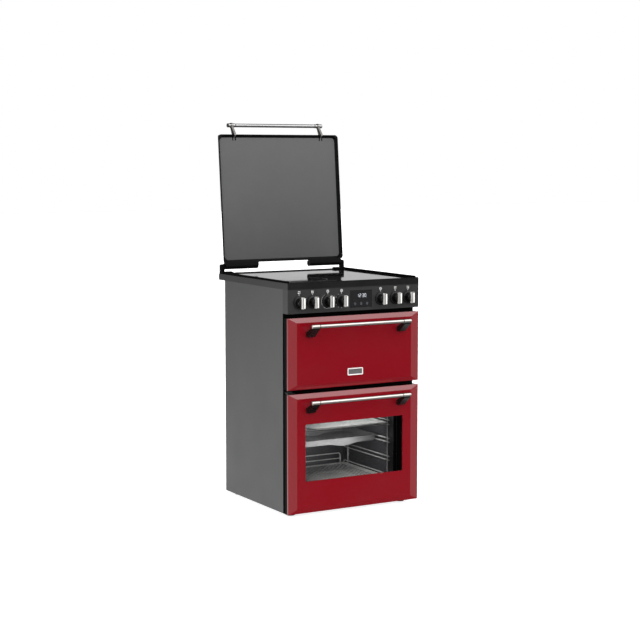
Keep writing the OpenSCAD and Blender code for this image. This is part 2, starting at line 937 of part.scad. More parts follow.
// Knob: skirt, tapered hub, upright grip bar with round ends, and shaft
module knob(n) {
  x = knob_x_shares[n - 1] * half_w;
  skirt_y = knob_back - skirt_t;
  skirt_r = skirt_dia / 2;
  grip_back = -(knob_reach - grip_d);
  translate([x, at_y(0), knob_z]) {
    color(black_gloss) {
      translate([0, skirt_y, 0]) rotate([-90, 0, 0])
        cylinder(h = skirt_t, r1 = skirt_r - knob_gap, r2 = skirt_r);
      translate([0, grip_back, 0]) rotate([-90, 0, 0])
        cylinder(h = skirt_y - grip_back, r1 = hub_tip_r, r2 = hub_r);
      bar_y([0, knob_back, 0], knob_shaft_len, knob_shaft_r);
    }
    color(chrome_c) translate([0, grip_back, 0]) rotate([90, 0, 0]) linear_extrude(grip_d)
      round_rect(grip_w, grip_h, grip_r);
  }
}
module knob_1() { knob(1); }
module knob_2() { knob(2); }
module knob_3() { knob(3); }
module knob_4() { knob(4); }
module knob_5() { knob(5); }
module knob_6() { knob(6); }
module knob_7() { knob(7); }

// Sheet deck above the ovens that carries the electronics
module electronics_deck() {
  y0 = cavity_y + panel_t + pin_gap;
  y1 = body_back - panel_t;
  w = half_w - panel_t;
  top = deck_z + deck_lip;
  color(bare_steel) difference() {
    wide_block(w, [y0, y1], [deck_z, top]);
    wide_block(w - deck_t, [y0 + deck_t, y1 - deck_t], [deck_z + deck_t, top + over]);
  }
}

// Power boards: a plate on four studs with a finned heat sink
module power_board(x) {
  z = deck_z + deck_t;
  board_z = z + board_lift;
  sink_z = board_z + board_t;
  fin_pitch = (sink_w - fin_t) / (fins - 1);
  translate([x, at_y(board_y), 0]) {
    translate([-board_w / 2, 0, board_z]) cube([board_w, board_d, board_t]);
    for (sx = [-1, 1], y = [stud_in, board_d - stud_in]) {
      translate([sx * (board_w / 2 - stud_in), y, z]) cylinder(h = board_lift, r = stud_r);
    }
    translate([-sink_w / 2, (board_d - sink_d) / 2, sink_z]) cube([sink_w, sink_d, sink_base]);
    for (n = [0 : fins - 1]) {
      translate([-sink_w / 2 + n * fin_pitch, (board_d - sink_d) / 2, sink_z]) cube([fin_t, sink_d, sink_h]);
    }
  }
}
module power_boards() {
  color(board_green) for (s = [-1, 1]) power_board(s * board_x);
}

// Cooling blower: a round housing with an eye on top and a mouth at the back
module blower_housing() {
  z = deck_z + deck_t;
  color(plastic_c) translate([0, at_y(blower_y), z]) difference() {
    union() {
      cylinder(h = blower_h, r = blower_r, $fn = 64);
      cube([blower_r, blower_r + blower_mouth / 2, blower_h]);
    }
    translate([0, 0, blower_floor])
      cylinder(h = blower_h - 2 * blower_floor, r = blower_r - blower_wall, $fn = 64);
    translate([blower_wall, 0, blower_floor])
      cube([blower_r - 2 * blower_wall, blower_r + blower_mouth, blower_h - 2 * blower_floor]);
    translate([0, 0, blower_h / 2]) cylinder(h = blower_h, r = blower_eye_r);
    translate([0, 0, -over]) cylinder(h = blower_h, r = wheel_shaft_r + pin_gap);
  }
}

// Blower wheel: a floor disc, a ring of blades and a shaft in the housing's floor
module blower_wheel() {
  z = deck_z + deck_t;
  color(bare_steel) translate([0, at_y(blower_y), z]) {
    translate([0, 0, wheel_lift]) cylinder(h = wheel_disc_t, r = wheel_r);
    translate([0, 0, wheel_lift]) cylinder(h = wheel_h / 2, r = wheel_boss_r);
    translate([0, 0, pin_gap]) cylinder(h = wheel_lift + over, r = wheel_shaft_r);
    for (n = [0 : wheel_blades - 1]) rotate(n * 360 / wheel_blades)
      translate([wheel_r - wheel_blade_d, -blade_t / 2, wheel_lift])
        cube([wheel_blade_d - pin_gap, blade_t, wheel_h]);
  }
}

// Hob frame: a deep edge, a ledge under the glass and a low rail on three sides
module hob_frame() {
  glass_w = half_w - glass_side;
  glass_y = [glass_front, hob_d - glass_rear];
  ledge_z = hob_top - glass_t;
  rail_x = half_w - rail_in;
  rail_y = hob_d - rail_rear;
  rail_top = hob_top + rail_h;
  color(black_paint) {
    difference() {
      wide_block(half_w, [0, hob_d], [body_top, hob_top]);
      wide_block(half_w - hob_wall, [hob_wall, hob_d - hob_wall], [body_top - over, ledge_z - ledge_t]);
      wide_block(glass_w, glass_y, [ledge_z, hob_top + over]);
      wide_block(glass_w - ledge_w, [glass_y[0] + ledge_w, glass_y[1] - ledge_w], [body_top, hob_top + over]);
    }
    both_sides()
      block([rail_x - rail_t, at_y(rail_front), hob_top], [rail_x, at_y(hinge_y - rail_stop), rail_top]);
    wide_block(lid_foot_in - rail_h, [rail_y - rail_t, rail_y], [hob_top, rail_top]);
  }
}

// Glass ceramic on the ledge
module hob_glass() {
  color(glass_c) wide_block(
    half_w - glass_side - pin_gap,
    [glass_front + pin_gap, hob_d - glass_rear - pin_gap],
    [hob_top - glass_t, hob_top]
  );
}

// Tray of aluminium sheet between the hob's walls
module coil_tray() {
  heights = [coil_tray_z, coil_tray_z + coil_tray_t];
  color(bare_steel) wide_block(half_w - hob_wall, [hob_wall, hob_d - hob_wall], heights);
}

// One coil: ridges for its turns on a round carrier that stands on a foot
module coil(x, y, r) {
  z = coil_tray_z + coil_tray_t;
  pitch = (r - coil_hub_r) / coil_turns;
  translate([x, at_y(y), z]) {
    cylinder(h = coil_lift, r = coil_foot_r);
    translate([0, 0, coil_lift]) rotate_extrude($fn = 64) polygon(concat(
      [[0, 0], [r, 0], [r, coil_t]],
      [for (n = [0 : coil_turns - 1], p = [0 : 3])
        [r - n * pitch - (p < 2 ? pitch / 2 : pitch), coil_t + ((p == 1 || p == 2) ? coil_ridge : 0)]],
      [[0, coil_t]]
    ));
  }
}
module induction_coils() {
  color(copper_c) for (s = [-1, 1]) {
    coil(s * coil_x_share * half_w, coil_front_share * hob_d, s < 0 ? coil_big_r : coil_small_r);
    coil(s * coil_x_share * half_w, coil_rear_share * hob_d, s < 0 ? coil_small_r : coil_big_r);
  }
}

// Terminal cover on the back panel, and the cable clamp in its lower wall
module terminal_cover() {
  y0 = body_back + panel_t;
  inner_w = terminal_w - 2 * terminal_t;
  inner_h = terminal_h - 2 * terminal_t;
  color(plastic_c) difference() {
    from_front([y0, y0 + terminal_d]) translate([terminal_x, terminal_z])
      round_rect(terminal_w, terminal_h, terminal_r);
    from_front([y0 - over, y0 + terminal_d - terminal_t]) translate([terminal_x, terminal_z])
      round_rect(inner_w, inner_h, terminal_r - terminal_t);
    translate([terminal_x, at_y(y0 + terminal_d / 2), terminal_z - terminal_h / 2 - over])
      cylinder(h = terminal_t + 2 * over, r = clamp_r + pin_gap);
  }
}
module cable_clamp() {
  z = terminal_z - terminal_h / 2 + terminal_t + clamp_in - clamp_len;
  collar = clamp_len - clamp_in - terminal_t;
  color(plastic_c) translate([terminal_x, at_y(body_back + panel_t + terminal_d / 2), z]) difference() {
    union() {
      cylinder(h = clamp_len, r = clamp_r);
      cylinder(h = collar, r1 = clamp_r, r2 = clamp_collar_r - over);
    }
    translate([0, 0, -over]) cylinder(h = clamp_len + 2 * over, r = clamp_bore_r);
  }
}

// Puts a piece of the lid, drawn closed about the hinge axis, into its open place
module on_lid() {
  translate([0, at_y(hinge_y), hinge_z]) rotate([-lid_turn, 0, 0]) children();
}

// Flat outline of the lid, drawn closed
module lid_outline(inset, r) {
  translate([0, -(lid_start + lid_len / 2)]) round_rect(lid_w - 2 * inset, lid_len - 2 * inset, r);
}

// Draws a side view outline of the lid, y by height, or a front view one, x by height
module lid_side() {
  translate([-lid_w, 0, 0]) rotate([90, 0, 90]) linear_extrude(2 * lid_w) children();
}
module lid_front() {
  translate([0, over, 0]) rotate([90, 0, 0]) linear_extrude(lid_end + 2 * over) children();
}

// Solid of the lid: a flat rim, and walls that lean in on three sides
module lid_shell() {
  w = lid_w / 2;
  skin_z = lid_plane + lid_t;
  rim_z = lid_plane + lid_rim_t;
  intersection() {
    translate([0, 0, lid_plane]) linear_extrude(lid_t) lid_outline(0, lid_r);
    lid_side() polygon([
      [over - lid_start, lid_plane - over], [over - lid_start, skin_z + over],
      [lid_back_in - lid_end, skin_z + over], [lid_back_in - lid_end, skin_z],
      [-lid_end, rim_z], [-lid_end, lid_plane - over]
    ]);
    lid_front() polygon([
      [-w, lid_plane - over], [-w, rim_z], [lid_back_in - w, skin_z], [lid_back_in - w, skin_z + over],
      [w - lid_back_in, skin_z + over], [w - lid_back_in, skin_z], [w, rim_z], [w, lid_plane - over]
    ]);
  }
}

// Hollow of the lid above its panel, whose walls lean in on all sides
module lid_hollow() {
  w = lid_w / 2 - lid_rim_w;
  lean = lid_wall_in - lid_rim_w;
  rear = -lid_start - lid_rim_w;
  free = lid_rim_w - lid_end;
  floor_z = lid_plane + lid_recess;
  intersection() {
    translate([0, 0, lid_plane - over]) linear_extrude(lid_recess + over) lid_outline(lid_rim_w, 2 * lid_r);
    lid_side() polygon([
      [rear, lid_plane - over], [rear, lid_plane], [rear - lean, floor_z], [free + lean, floor_z],
      [free, lid_plane], [free, lid_plane - over]
    ]);
    lid_front() polygon([
      [-w, lid_plane - over], [-w, lid_plane], [lean - w, floor_z], [w - lean, floor_z],
      [w, lid_plane], [w, lid_plane - over]
    ]);
  }
}

// Lid frame: a shallow pan with a ledge that holds the panel
module lid_frame() {
  panel_z = lid_plane + lid_recess;
  color(black_gloss) on_lid() difference() {
    lid_shell();
    lid_hollow();
    translate([0, 0, panel_z]) linear_extrude(lid_panel_t) lid_outline(lid_wall_in, lid_r);
    translate([0, 0, panel_z]) linear_extrude(lid_t - lid_recess - lid_skin_t)
      lid_outline(lid_wall_in + lid_ledge, lid_r);
  }
}
module lid_panel() {
  color(glass_c) on_lid() translate([0, 0, lid_plane + lid_recess]) linear_extrude(lid_panel_t)
    lid_outline(lid_wall_in + pin_gap, lid_r);
}

// Hinge barrels with a saddle that lies on the lid's hinge edge
module lid_hinge_barrels() {
  len = barrel_out - barrel_in;
  color(black_gloss) on_lid() both_sides() difference() {
    union() {
      bar_x([barrel_in, 0, 0], len, barrel_r);
      block([barrel_in, -lid_start, lid_plane], [barrel_out, 0, 0]);
    }
    bar_x([barrel_in - over, 0, 0], len + 2 * over, lid_pin_r + pin_gap);
  }
}

// Two hinge brackets on the hob's rear corners, each with a pin that enters a barrel
module lid_hinge_brackets() {
  color(black_paint) both_sides() {
    from_side(lid_ear_in, lid_ear_out) {
      translate([hinge_y, (hob_top + hinge_z) / 2]) square([2 * lid_ear_half, hinge_rise], center = true);
      translate([hinge_y, hinge_z]) circle(lid_ear_half);
    }
    block([lid_foot_in, at_y(hob_d - lid_foot_d), hob_top], [lid_ear_out, at_y(hob_d), hob_top + lid_foot_t]);
    bar_x([lid_pin_in, at_y(hinge_y), hinge_z], lid_ear_in - lid_pin_in + over, lid_pin_r);
  }
}

// Handle bar with a stepped ferrule at each end, about its own middle
module handle_bar() {
  inner = bar_len / 2 - ferrule_len;
  bar_x([-inner, 0, 0], 2 * inner, bar_dia / 2);
  both_sides() {
    bar_x([inner + ferrule_lip, 0, 0], ferrule_len - 3 * ferrule_lip, ferrule_r);
    bar_x([inner, 0, 0], ferrule_len - ferrule_lip, bar_dia / 2 - ferrule_lip);
    translate([bar_len / 2 - 2 * ferrule_lip, 0, 0]) rotate([0, 90, 0])
      cylinder(h = 2 * ferrule_lip, r1 = ferrule_r, r2 = ferrule_r - 2 * ferrule_lip);
  }
}
module lid_bar() {
  color(chrome_c) on_lid() translate([0, -lid_bar_y, lid_bar_rise]) handle_bar();
}

// Posts from the lid's free edge to its bar: a ring and a leg, and a clip that runs
// over the rim and down the inner wall
module lid_post(width) {
  translate([bar_bracket_x - width / 2, 0, 0]) rotate([90, 0, 90]) linear_extrude(width) children();
}
module lid_bar_posts() {
  edge = -lid_end;
  clip_y = edge + lid_rim_w + clip_share * (lid_wall_in - lid_rim_w);
  clip_z = lid_plane + clip_share * lid_recess;
  color(chrome_c) on_lid() both_sides() {
    lid_post(post_w) difference() {
      union() {
        translate([-lid_bar_y, lid_bar_rise]) circle(ferrule_r + post_ring_t);
        polygon([
          [-lid_bar_y, lid_bar_rise + post_half],
          [-lid_bar_y, lid_bar_rise - post_half],
          [edge - clip_t, lid_plane - clip_t],
          [edge, lid_plane - clip_t],
          [edge, lid_plane + lid_rim_t],
          [edge + lid_back_in, lid_plane + lid_t]
        ]);
      }
      translate([-lid_bar_y, lid_bar_rise]) circle(ferrule_r + pin_gap);
    }
    lid_post(clip_w) polygon([
      [edge - clip_t, lid_plane - clip_t],
      [edge + lid_rim_w, lid_plane - clip_t],
      [clip_y + clip_t, clip_z],
      [clip_y, clip_z],
      [edge + lid_rim_w, lid_plane],
      [edge, lid_plane]
    ]);
  }
}

// Solid of a pressed door face, whose panel stands before its outer edge
module door_slab(z, h, inset) {
  w = half_w - inset;
  back = skin_return;
  face = inset - face_proud;
  intersection() {
    from_top(z + inset, z + h - inset) polygon([
      [-w, back + (inset > 0 ? over : 0)],
      [-w, inset],
      [side_bevel - half_w, face],
      [half_w - side_bevel, face],
      [w, inset],
      [w, back + (inset > 0 ? over : 0)]
    ]);
    from_side(-half_w, half_w) polygon([
      [back + over, z + inset],
      [inset, z + inset],
      [face, z + end_bevel],
      [face, z + h - end_bevel],
      [inset, z + h - inset],
      [back + over, z + h - inset]
    ]);
  }
}
module door_skin(z, h) {
  difference() {
    door_slab(z, h, 0);
    door_slab(z, h, skin_t);
  }
}

// Black frame of a door, open at the front, with a seat for its inner pane
module door_frame(z, h) {
  w = half_w - door_frame_inset;
  low = z + door_frame_inset;
  high = z + h - door_frame_inset;
  c = door_chamfer;
  pane_w = half_w - liner_margin - door_chamfer;
  seat = [z + liner_margin - pin_gap, z + h - liner_margin + pin_gap];
  hole = [z + 2 * liner_margin, z + h - 2 * liner_margin];
  hollow = [low + door_wall, high - door_wall];
  difference() {
    intersection() {
      from_top(low, high) polygon([
        [-w, skin_return], [w, skin_return], [w, door_d - c],
        [w - c, door_d], [c - w, door_d], [-w, door_d - c]
      ]);
      from_side(-w, w) polygon([
        [skin_return, low], [door_d - c, low], [door_d, low + c],
        [door_d, high - c], [door_d - c, high], [skin_return, high]
      ]);
    }
    wide_block(w - door_wall, [skin_return - over, door_d - door_back_t], hollow);
    wide_block(pane_w + pin_gap, [door_d - liner_t, door_d + over], seat);
    wide_block(pane_w - liner_margin, [skin_return, door_d], hole);
  }
}

// Flat pane in the seat of a door frame
module door_pane(z, h) {
  w = half_w - liner_margin - door_chamfer;
  wide_block(w, [door_d - liner_t, door_d], [z + liner_margin, z + h - liner_margin]);
}

// Bar of a door whose top is at a height, and its two slanting struts
module bar_on_door(top) {
  translate([0, at_y(-face_proud - bar_standoff), top - bar_drop]) handle_bar();
}
module bar_brackets(top) {
  bar_y = -face_proud - bar_standoff;
  bar_z = top - bar_drop;
  cradle_y = bar_y + ferrule_r + bracket_t;
  half = bar_bracket_w / 2;
  both_sides() from_side(bar_bracket_x - half, bar_bracket_x + half) difference() {
    polygon([
      [bar_y - bar_bracket_lip, bar_z - bracket_t],
      [bar_y - bar_bracket_lip, bar_z - ferrule_r - bracket_t],
      [-face_proud - bracket_foot_d, bar_z - bracket_foot_low],
      [-face_proud, bar_z - bracket_foot_low],
      [-face_proud, bar_z - bracket_foot_high],
      [cradle_y, bar_z - 2 * bracket_t],
      [cradle_y, bar_z - bracket_t]
    ]);
    translate([bar_y, bar_z]) circle(ferrule_r + pin_gap);
  }
}

// Grill door
module grill_door_skin() {
  color(enamel_red) door_skin(grill_z, grill_door_h);
}
module grill_door_frame() {
  color(black_gloss) difference() {
    union() {
      difference() {
        door_frame(grill_z, grill_door_h);
        both_sides() block(
          [grill_ear_x - grill_slot_w / 2, at_y(grill_pivot_y - grill_ear_r), grill_z],
          [grill_ear_x + grill_slot_w / 2, at_y(door_d + over), grill_pivot_z + grill_cheek_r]
        );
      }
      both_sides() for (s = [-1, 1]) {
        x = grill_ear_x + s * (grill_slot_w + grill_cheek_t) / 2;
        from_side(x - grill_cheek_t / 2, x + grill_cheek_t / 2) {
          translate([grill_pivot_y, grill_pivot_z]) circle(grill_cheek_r);
          translate([grill_pivot_y - grill_cheek_r, grill_z + door_frame_inset])
            square([2 * grill_cheek_r, grill_pivot_up - door_frame_inset]);
        }
      }
    }
    both_sides() bar_x([grill_ear_x - grill_slot_w, at_y(grill_pivot_y), grill_pivot_z],
      2 * grill_slot_w, grill_pin_r + pin_gap);
  }
}
module grill_door_liner() {
  color(grey_enamel) door_pane(grill_z, grill_door_h);
}
module grill_door_bar() {
  color(chrome_c) bar_on_door(grill_z + grill_door_h);
}
module grill_bar_brackets() {
  color(black_gloss) bar_brackets(grill_z + grill_door_h);
}

// Grill door hinges: an ear on the front frame and a pin through it
module grill_hinge_brackets() {
  color(bare_steel) both_sides() {
    from_side(grill_ear_x - grill_ear_t / 2, grill_ear_x + grill_ear_t / 2) {
      translate([grill_pivot_y, grill_pivot_z]) circle(grill_ear_r);
      translate([grill_pivot_y, grill_pivot_z - grill_ear_r])
        square([frame_y - grill_pivot_y, 2 * grill_ear_r]);
    }
    bar_x([grill_ear_x - grill_slot_w / 2 - grill_cheek_t, at_y(grill_pivot_y), grill_pivot_z],
      grill_slot_w + 2 * grill_cheek_t, grill_pin_r);
  }
}

// Oven door hinges: a plate above and a plate below, each with a pin into the door
module hinge_plate(z, pin_z, y_end) {
  from_top(z, z + hinge_plate_t) {
    translate([oven_pivot_x, oven_pivot_y]) circle(hinge_plate_r);
    translate([oven_pivot_x - hinge_plate_r, oven_pivot_y]) square([hinge_plate_w, y_end - oven_pivot_y]);
  }
  translate([oven_pivot_x, at_y(oven_pivot_y), pin_z]) cylinder(h = oven_pin_len + over, r = oven_pin_r);
}
module oven_hinge_brackets() {
  top = door_z + oven_door_h + hinge_plate_gap;
  low = door_z - hinge_plate_gap;
  low_end = foot_front - nut_r - over;
  x0 = oven_pivot_x - hinge_plate_r;
  x1 = x0 + hinge_plate_w;
  color(black_paint) {
    hinge_plate(top, top - oven_pin_len, frame_y);
    hinge_plate(low - hinge_plate_t, low - over, low_end);
    block([x0, at_y(frame_y - hinge_plate_t), top], [x1, at_y(frame_y), top + hinge_flange_h]);
    block([x0, at_y(frame_y), low - over], [x1, at_y(low_end), door_z]);
  }
}

// Oven door with its window
module oven_window(grow, r) {
  translate([0, window_z + window_h / 2]) round_rect(window_w + 2 * grow, window_h + 2 * grow, r);
}
module oven_door_skin() {
  color(enamel_red) difference() {
    union() {
      door_skin(door_z, oven_door_h);
      from_front([-face_proud + skin_t, window_lip - face_proud]) oven_window(skin_t, window_r + skin_t);
    }
    from_front([-face_proud - over, window_lip]) oven_window(0, window_r);
  }
}
module oven_door_frame() {
  color(black_gloss) difference() {
    union() {
      door_frame(door_z, oven_door_h);
      for (z = [door_z + door_frame_inset, door_z + oven_door_h - door_frame_inset - oven_boss_h]) {
        translate([oven_pivot_x, at_y(oven_pivot_y), z]) cylinder(h = oven_boss_h, r = oven_boss_r);
      }
    }
    translate([oven_pivot_x, at_y(oven_pivot_y), door_z - over])
      cylinder(h = oven_door_h + 2 * over, r = oven_pin_r + pin_gap);
  }
}
module oven_door_outer_glass() {
  color(glass_c) from_front([window_lip - face_proud, window_lip - face_proud + outer_glass_t])
    oven_window(glass_lap, window_r);
}
module oven_door_inner_glass() {
  color(glass_c) door_pane(door_z, oven_door_h);
}
module oven_door_bar() {
  color(chrome_c) bar_on_door(door_z + oven_door_h);
}
module oven_bar_brackets() {
  color(black_gloss) bar_brackets(door_z + oven_door_h);
}

side_panel_left();
side_panel_right();
back_panel();
base_tray();
front_frame();
levelling_feet();
main_oven_cavity();
top_oven_cavity();
door_seals();
side_racks();
fan_cover();
oven_fan();
fan_motor();
ring_element();
oven_lamp();
grill_element();
insulation();
fascia();
display_glass();
display_module();
rotary_switches();
electronics_deck();
power_boards();
blower_housing();
blower_wheel();
hob_frame();
hob_glass();
induction_coils();
coil_tray();
terminal_cover();
cable_clamp();
lid_hinge_brackets();
lid_frame();
lid_panel();
lid_hinge_barrels();
lid_bar();
lid_bar_posts();
grill_door_skin();
grill_door_frame();
grill_door_liner();
grill_door_bar();
grill_bar_brackets();
grill_hinge_brackets();
oven_hinge_brackets();
oven_door_skin();
oven_door_frame();
oven_door_outer_glass();
oven_door_inner_glass();
oven_door_bar();
oven_bar_brackets();
oven_shelf_upper();
oven_shelf_lower();
roasting_tray();
knob_1();
knob_2();
knob_3();
knob_4();
knob_5();
knob_6();
knob_7();
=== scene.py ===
"""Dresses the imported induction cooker: enamel, chrome, glass, knobs, marks and the studio around it."""

import json
import math

import bmesh
import bpy
from mathutils import Matrix, Vector


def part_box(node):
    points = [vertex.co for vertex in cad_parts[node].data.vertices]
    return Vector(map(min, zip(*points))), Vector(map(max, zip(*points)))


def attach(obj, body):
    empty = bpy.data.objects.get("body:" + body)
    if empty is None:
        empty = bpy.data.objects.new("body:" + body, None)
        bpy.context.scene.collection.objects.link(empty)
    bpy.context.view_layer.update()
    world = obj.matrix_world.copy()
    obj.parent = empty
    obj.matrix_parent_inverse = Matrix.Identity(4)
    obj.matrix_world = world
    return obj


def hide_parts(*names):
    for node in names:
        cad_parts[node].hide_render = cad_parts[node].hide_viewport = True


bl_info = {
    "name": "Induction cooker dresser",
    "version": (1, 0, 0),
    "blender": (4, 5, 0),
    "location": "View3D > Sidebar > Cooker",
    "description": "Gives the cooker's packed parts their finishes and adds its small pieces",
    "category": "Object",
}

MM = 0.001
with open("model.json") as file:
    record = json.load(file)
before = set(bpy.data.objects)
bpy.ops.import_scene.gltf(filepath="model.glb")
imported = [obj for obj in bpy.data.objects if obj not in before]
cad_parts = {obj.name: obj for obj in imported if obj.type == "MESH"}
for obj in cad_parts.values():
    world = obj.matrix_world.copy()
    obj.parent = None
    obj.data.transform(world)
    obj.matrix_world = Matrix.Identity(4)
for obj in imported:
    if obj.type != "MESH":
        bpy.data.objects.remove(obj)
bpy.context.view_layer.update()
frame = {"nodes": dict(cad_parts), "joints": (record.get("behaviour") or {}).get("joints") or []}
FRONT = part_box("fascia")[0].y
HOB_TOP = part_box("hob_glass")[1].z
HINGE = Vector(next(j["pos_m"] for j in frame["joints"] if j["name"] == "lid_hinge"))
LID_LEAN = math.radians(5)
KNOBS = range(1, 8)
# The two oven knobs: one has a ring round it, the other a row of dots
RING_KNOB, DOT_KNOB = 3, 4


# Settings that a user would change

class CookerColours(bpy.types.PropertyGroup):
    enamel: bpy.props.StringProperty(
        name="Door enamel", description="Colour of both door faces", default="#66030e")
    side_paint: bpy.props.StringProperty(
        name="Side paint", description="Colour of the side panels", default="#1e1e1f")
    gloss_black: bpy.props.StringProperty(
        name="Black enamel", description="Colour of the oven door's hinge plates", default="#0c0c0d")
    panel_grey: bpy.props.StringProperty(
        name="Control panel", description="Colour of the control panel", default="#252525")
    lid_glass: bpy.props.StringProperty(
        name="Lid glass", description="Colour of the lid's inner panel", default="#3b3b3b")


class CookerSizes(bpy.types.PropertyGroup):
    plate_w: bpy.props.FloatProperty(
        name="Plate width", description="Width of the bare plate on the grill door",
        default=70 * MM, unit="LENGTH")
    plate_h: bpy.props.FloatProperty(
        name="Plate height", description="Height of the bare plate", default=28 * MM, unit="LENGTH")
    digit_h: bpy.props.FloatProperty(
        name="Digit height", description="Height of the clock's digits", default=12.5 * MM, unit="LENGTH")
    icon_size: bpy.props.FloatProperty(
        name="Icon size", description="Width of the signs over the knobs", default=12 * MM, unit="LENGTH")
    mark_ring: bpy.props.FloatProperty(
        name="Dial radius", description="Radius of the marks round the oven knobs",
        default=28.5 * MM, unit="LENGTH")


# Materials

def linear(hex_colour):
    """Turns an sRGB hex value to the linear colour that a shader takes."""
    parts = [int(hex_colour[k:k + 2], 16) / 255 for k in (1, 3, 5)]
    return tuple(p / 12.92 if p <= 0.04045 else ((p + 0.055) / 1.055) ** 2.4 for p in parts) + (1.0,)


def add(tree, kind, links=None, values=None, **settings):
    """Adds one node with its settings, its socket values and the links that lead into it.

    A socket goes by its name, or by its number where a node has several of that name."""
    node = tree.nodes.new(kind)
    for name, value in settings.items():
        setattr(node, name, value)
    for key, value in (values or {}).items():
        node.inputs[key].default_value = value
    for key, source in (links or {}).items():
        tree.links.new(source, node.inputs[key])
    return node


# The middle stretch of a noise pattern, where most of its values lie
PATTERN_SPAN = {"From Min": 0.3, "From Max": 0.7}
DRIFTS_PER_METRE = 6.5
RELIEF = 0.6


def surface(name, base, shade, grain, peel, rough, spread, stretch=(1, 1, 1), cells=False,
            edge="", painted_reflection_span=(0.25, 0.72), **sockets):
    """A finish whose colour, gloss and relief follow one pattern of a real size.

    grain is the pattern's spacing and peel its depth, both in millimetres; rough is the roughness
    and spread how far it strays to either side; edge is the colour painted where a surface turns
    from the view, a painted reflection of the dark end of the room that polished metal would
    mirror there, and painted_reflection_span how that sets in."""
    material = bpy.data.materials.new(name)
    material.use_nodes = True
    tree = material.node_tree
    tree.nodes.clear()
    where = add(tree, "ShaderNodeTexCoord")
    scale = tuple(s / (grain * MM) for s in stretch)
    laid = add(tree, "ShaderNodeMapping", {"Vector": where.outputs["Object"]}, {"Scale": scale})
    if cells:
        pattern = add(tree, "ShaderNodeTexVoronoi", {"Vector": laid.outputs[0]}, {"Scale": 1.0})
        height = pattern.outputs["Distance"]
    else:
        pattern = add(tree, "ShaderNodeTexNoise", {"Vector": laid.outputs[0]},
                      {"Scale": 1.0, "Detail": 3.0, "Roughness": 0.55})
        height = pattern.outputs["Fac"]
    # Slow drift over about 150 mm, as wiping and firing leave it
    far = add(tree, "ShaderNodeMapping", {"Vector": where.outputs["Object"]},
              {"Scale": (DRIFTS_PER_METRE,) * 3})
    drift = add(tree, "ShaderNodeTexNoise", {"Vector": far.outputs[0]}, {"Scale": 1.0, "Detail": 1.0})
    both = add(tree, "ShaderNodeMath", {0: height, 1: drift.outputs["Fac"]}, operation="ADD")
    half = add(tree, "ShaderNodeMath", {0: both.outputs[0]}, {1: 0.5}, operation="MULTIPLY")
    tint = add(tree, "ShaderNodeMix", {0: half.outputs[0]}, {6: linear(base), 7: linear(shade)},
               data_type="RGBA")
    # Painted reflection: where a surface turns from the view its colour goes to edge, standing for the dark
    # end of the room that polished metal mirrors there
    if edge:
        turn = add(tree, "ShaderNodeLayerWeight", values={"Blend": 0.5})
        painted_reflection_mask = add(tree, "ShaderNodeMapRange", {"Value": turn.outputs["Facing"]},
                   {"From Min": painted_reflection_span[0], "From Max": painted_reflection_span[1]}, interpolation_type="SMOOTHSTEP")
        tint = add(tree, "ShaderNodeMix", {0: painted_reflection_mask.outputs[0], 6: tint.outputs[2]}, {7: linear(edge)},
                   data_type="RGBA")
    gloss = add(tree, "ShaderNodeMapRange", {"Value": half.outputs[0]},
                {**PATTERN_SPAN, "To Min": rough - spread, "To Max": rough + spread})
    relief = add(tree, "ShaderNodeBump", {"Height": height}, {"Strength": RELIEF, "Distance": peel * MM})
    shader = add(tree, "ShaderNodeBsdfPrincipled",
                 {"Base Color": tint.outputs[2], "Roughness": gloss.outputs[0], "Normal": relief.outputs[0]},
                 {key.replace("_", " "): value for key, value in sockets.items()})
    add(tree, "ShaderNodeOutputMaterial", {"Surface": shader.outputs[0]})
    return material


GLASS_IOR = 1.5
# Faint wipe marks on glass, about 40 mm apart and closer together upwards
WIPES_PER_METRE = (25, 25, 60)


def clear_glass(name, tint, pass_share, rough):
    """Tinted float glass: it lets a share of the light through and mirrors more at a slant."""
    material = bpy.data.materials.new(name)
    material.use_nodes = True
    tree = material.node_tree
    tree.nodes.clear()
    where = add(tree, "ShaderNodeTexCoord")
    laid = add(tree, "ShaderNodeMapping", {"Vector": where.outputs["Object"]}, {"Scale": WIPES_PER_METRE})
    wipe = add(tree, "ShaderNodeTexNoise", {"Vector": laid.outputs[0]}, {"Scale": 1.0, "Detail": 2.0})
    gloss = add(tree, "ShaderNodeMapRange", {"Value": wipe.outputs["Fac"]},
                {**PATTERN_SPAN, "To Min": rough, "To Max": rough * 2})
    slant = add(tree, "ShaderNodeFresnel", values={"IOR": GLASS_IOR})
    solid = add(tree, "ShaderNodeMapRange", {"Value": slant.outputs[0]},
                {"From Min": 0.0, "From Max": 1.0, "To Min": 1.0 - pass_share, "To Max": 1.0})
    shader = add(tree, "ShaderNodeBsdfPrincipled",
                 {"Roughness": gloss.outputs[0], "Alpha": solid.outputs[0]},
                 {"Base Color": linear(tint), "IOR": GLASS_IOR})
    add(tree, "ShaderNodeOutputMaterial", {"Surface": shader.outputs[0]})
    return material


CELL = 2 * MM
FLICKER = 0.15


def glowing(name, colour, strength):
    """A lit segment: its light varies a little from cell to cell, as behind a diffuser."""
    material = bpy.data.materials.new(name)
    material.use_nodes = True
    tree = material.node_tree
    tree.nodes.clear()
    where = add(tree, "ShaderNodeTexCoord")
    laid = add(tree, "ShaderNodeMapping", {"Vector": where.outputs["Object"]}, {"Scale": (1 / CELL,) * 3})
    cells = add(tree, "ShaderNodeTexNoise", {"Vector": laid.outputs[0]}, {"Scale": 1.0})
    level = add(tree, "ShaderNodeMapRange", {"Value": cells.outputs["Fac"]},
                {"To Min": strength * (1 - FLICKER), "To Max": strength * (1 + FLICKER)})
    shader = add(tree, "ShaderNodeBsdfPrincipled", {"Emission Strength": level.outputs[0]},
                 {"Base Color": linear(colour), "Emission Color": linear(colour), "Roughness": 0.4})
    add(tree, "ShaderNodeOutputMaterial", {"Surface": shader.outputs[0]})
    return material


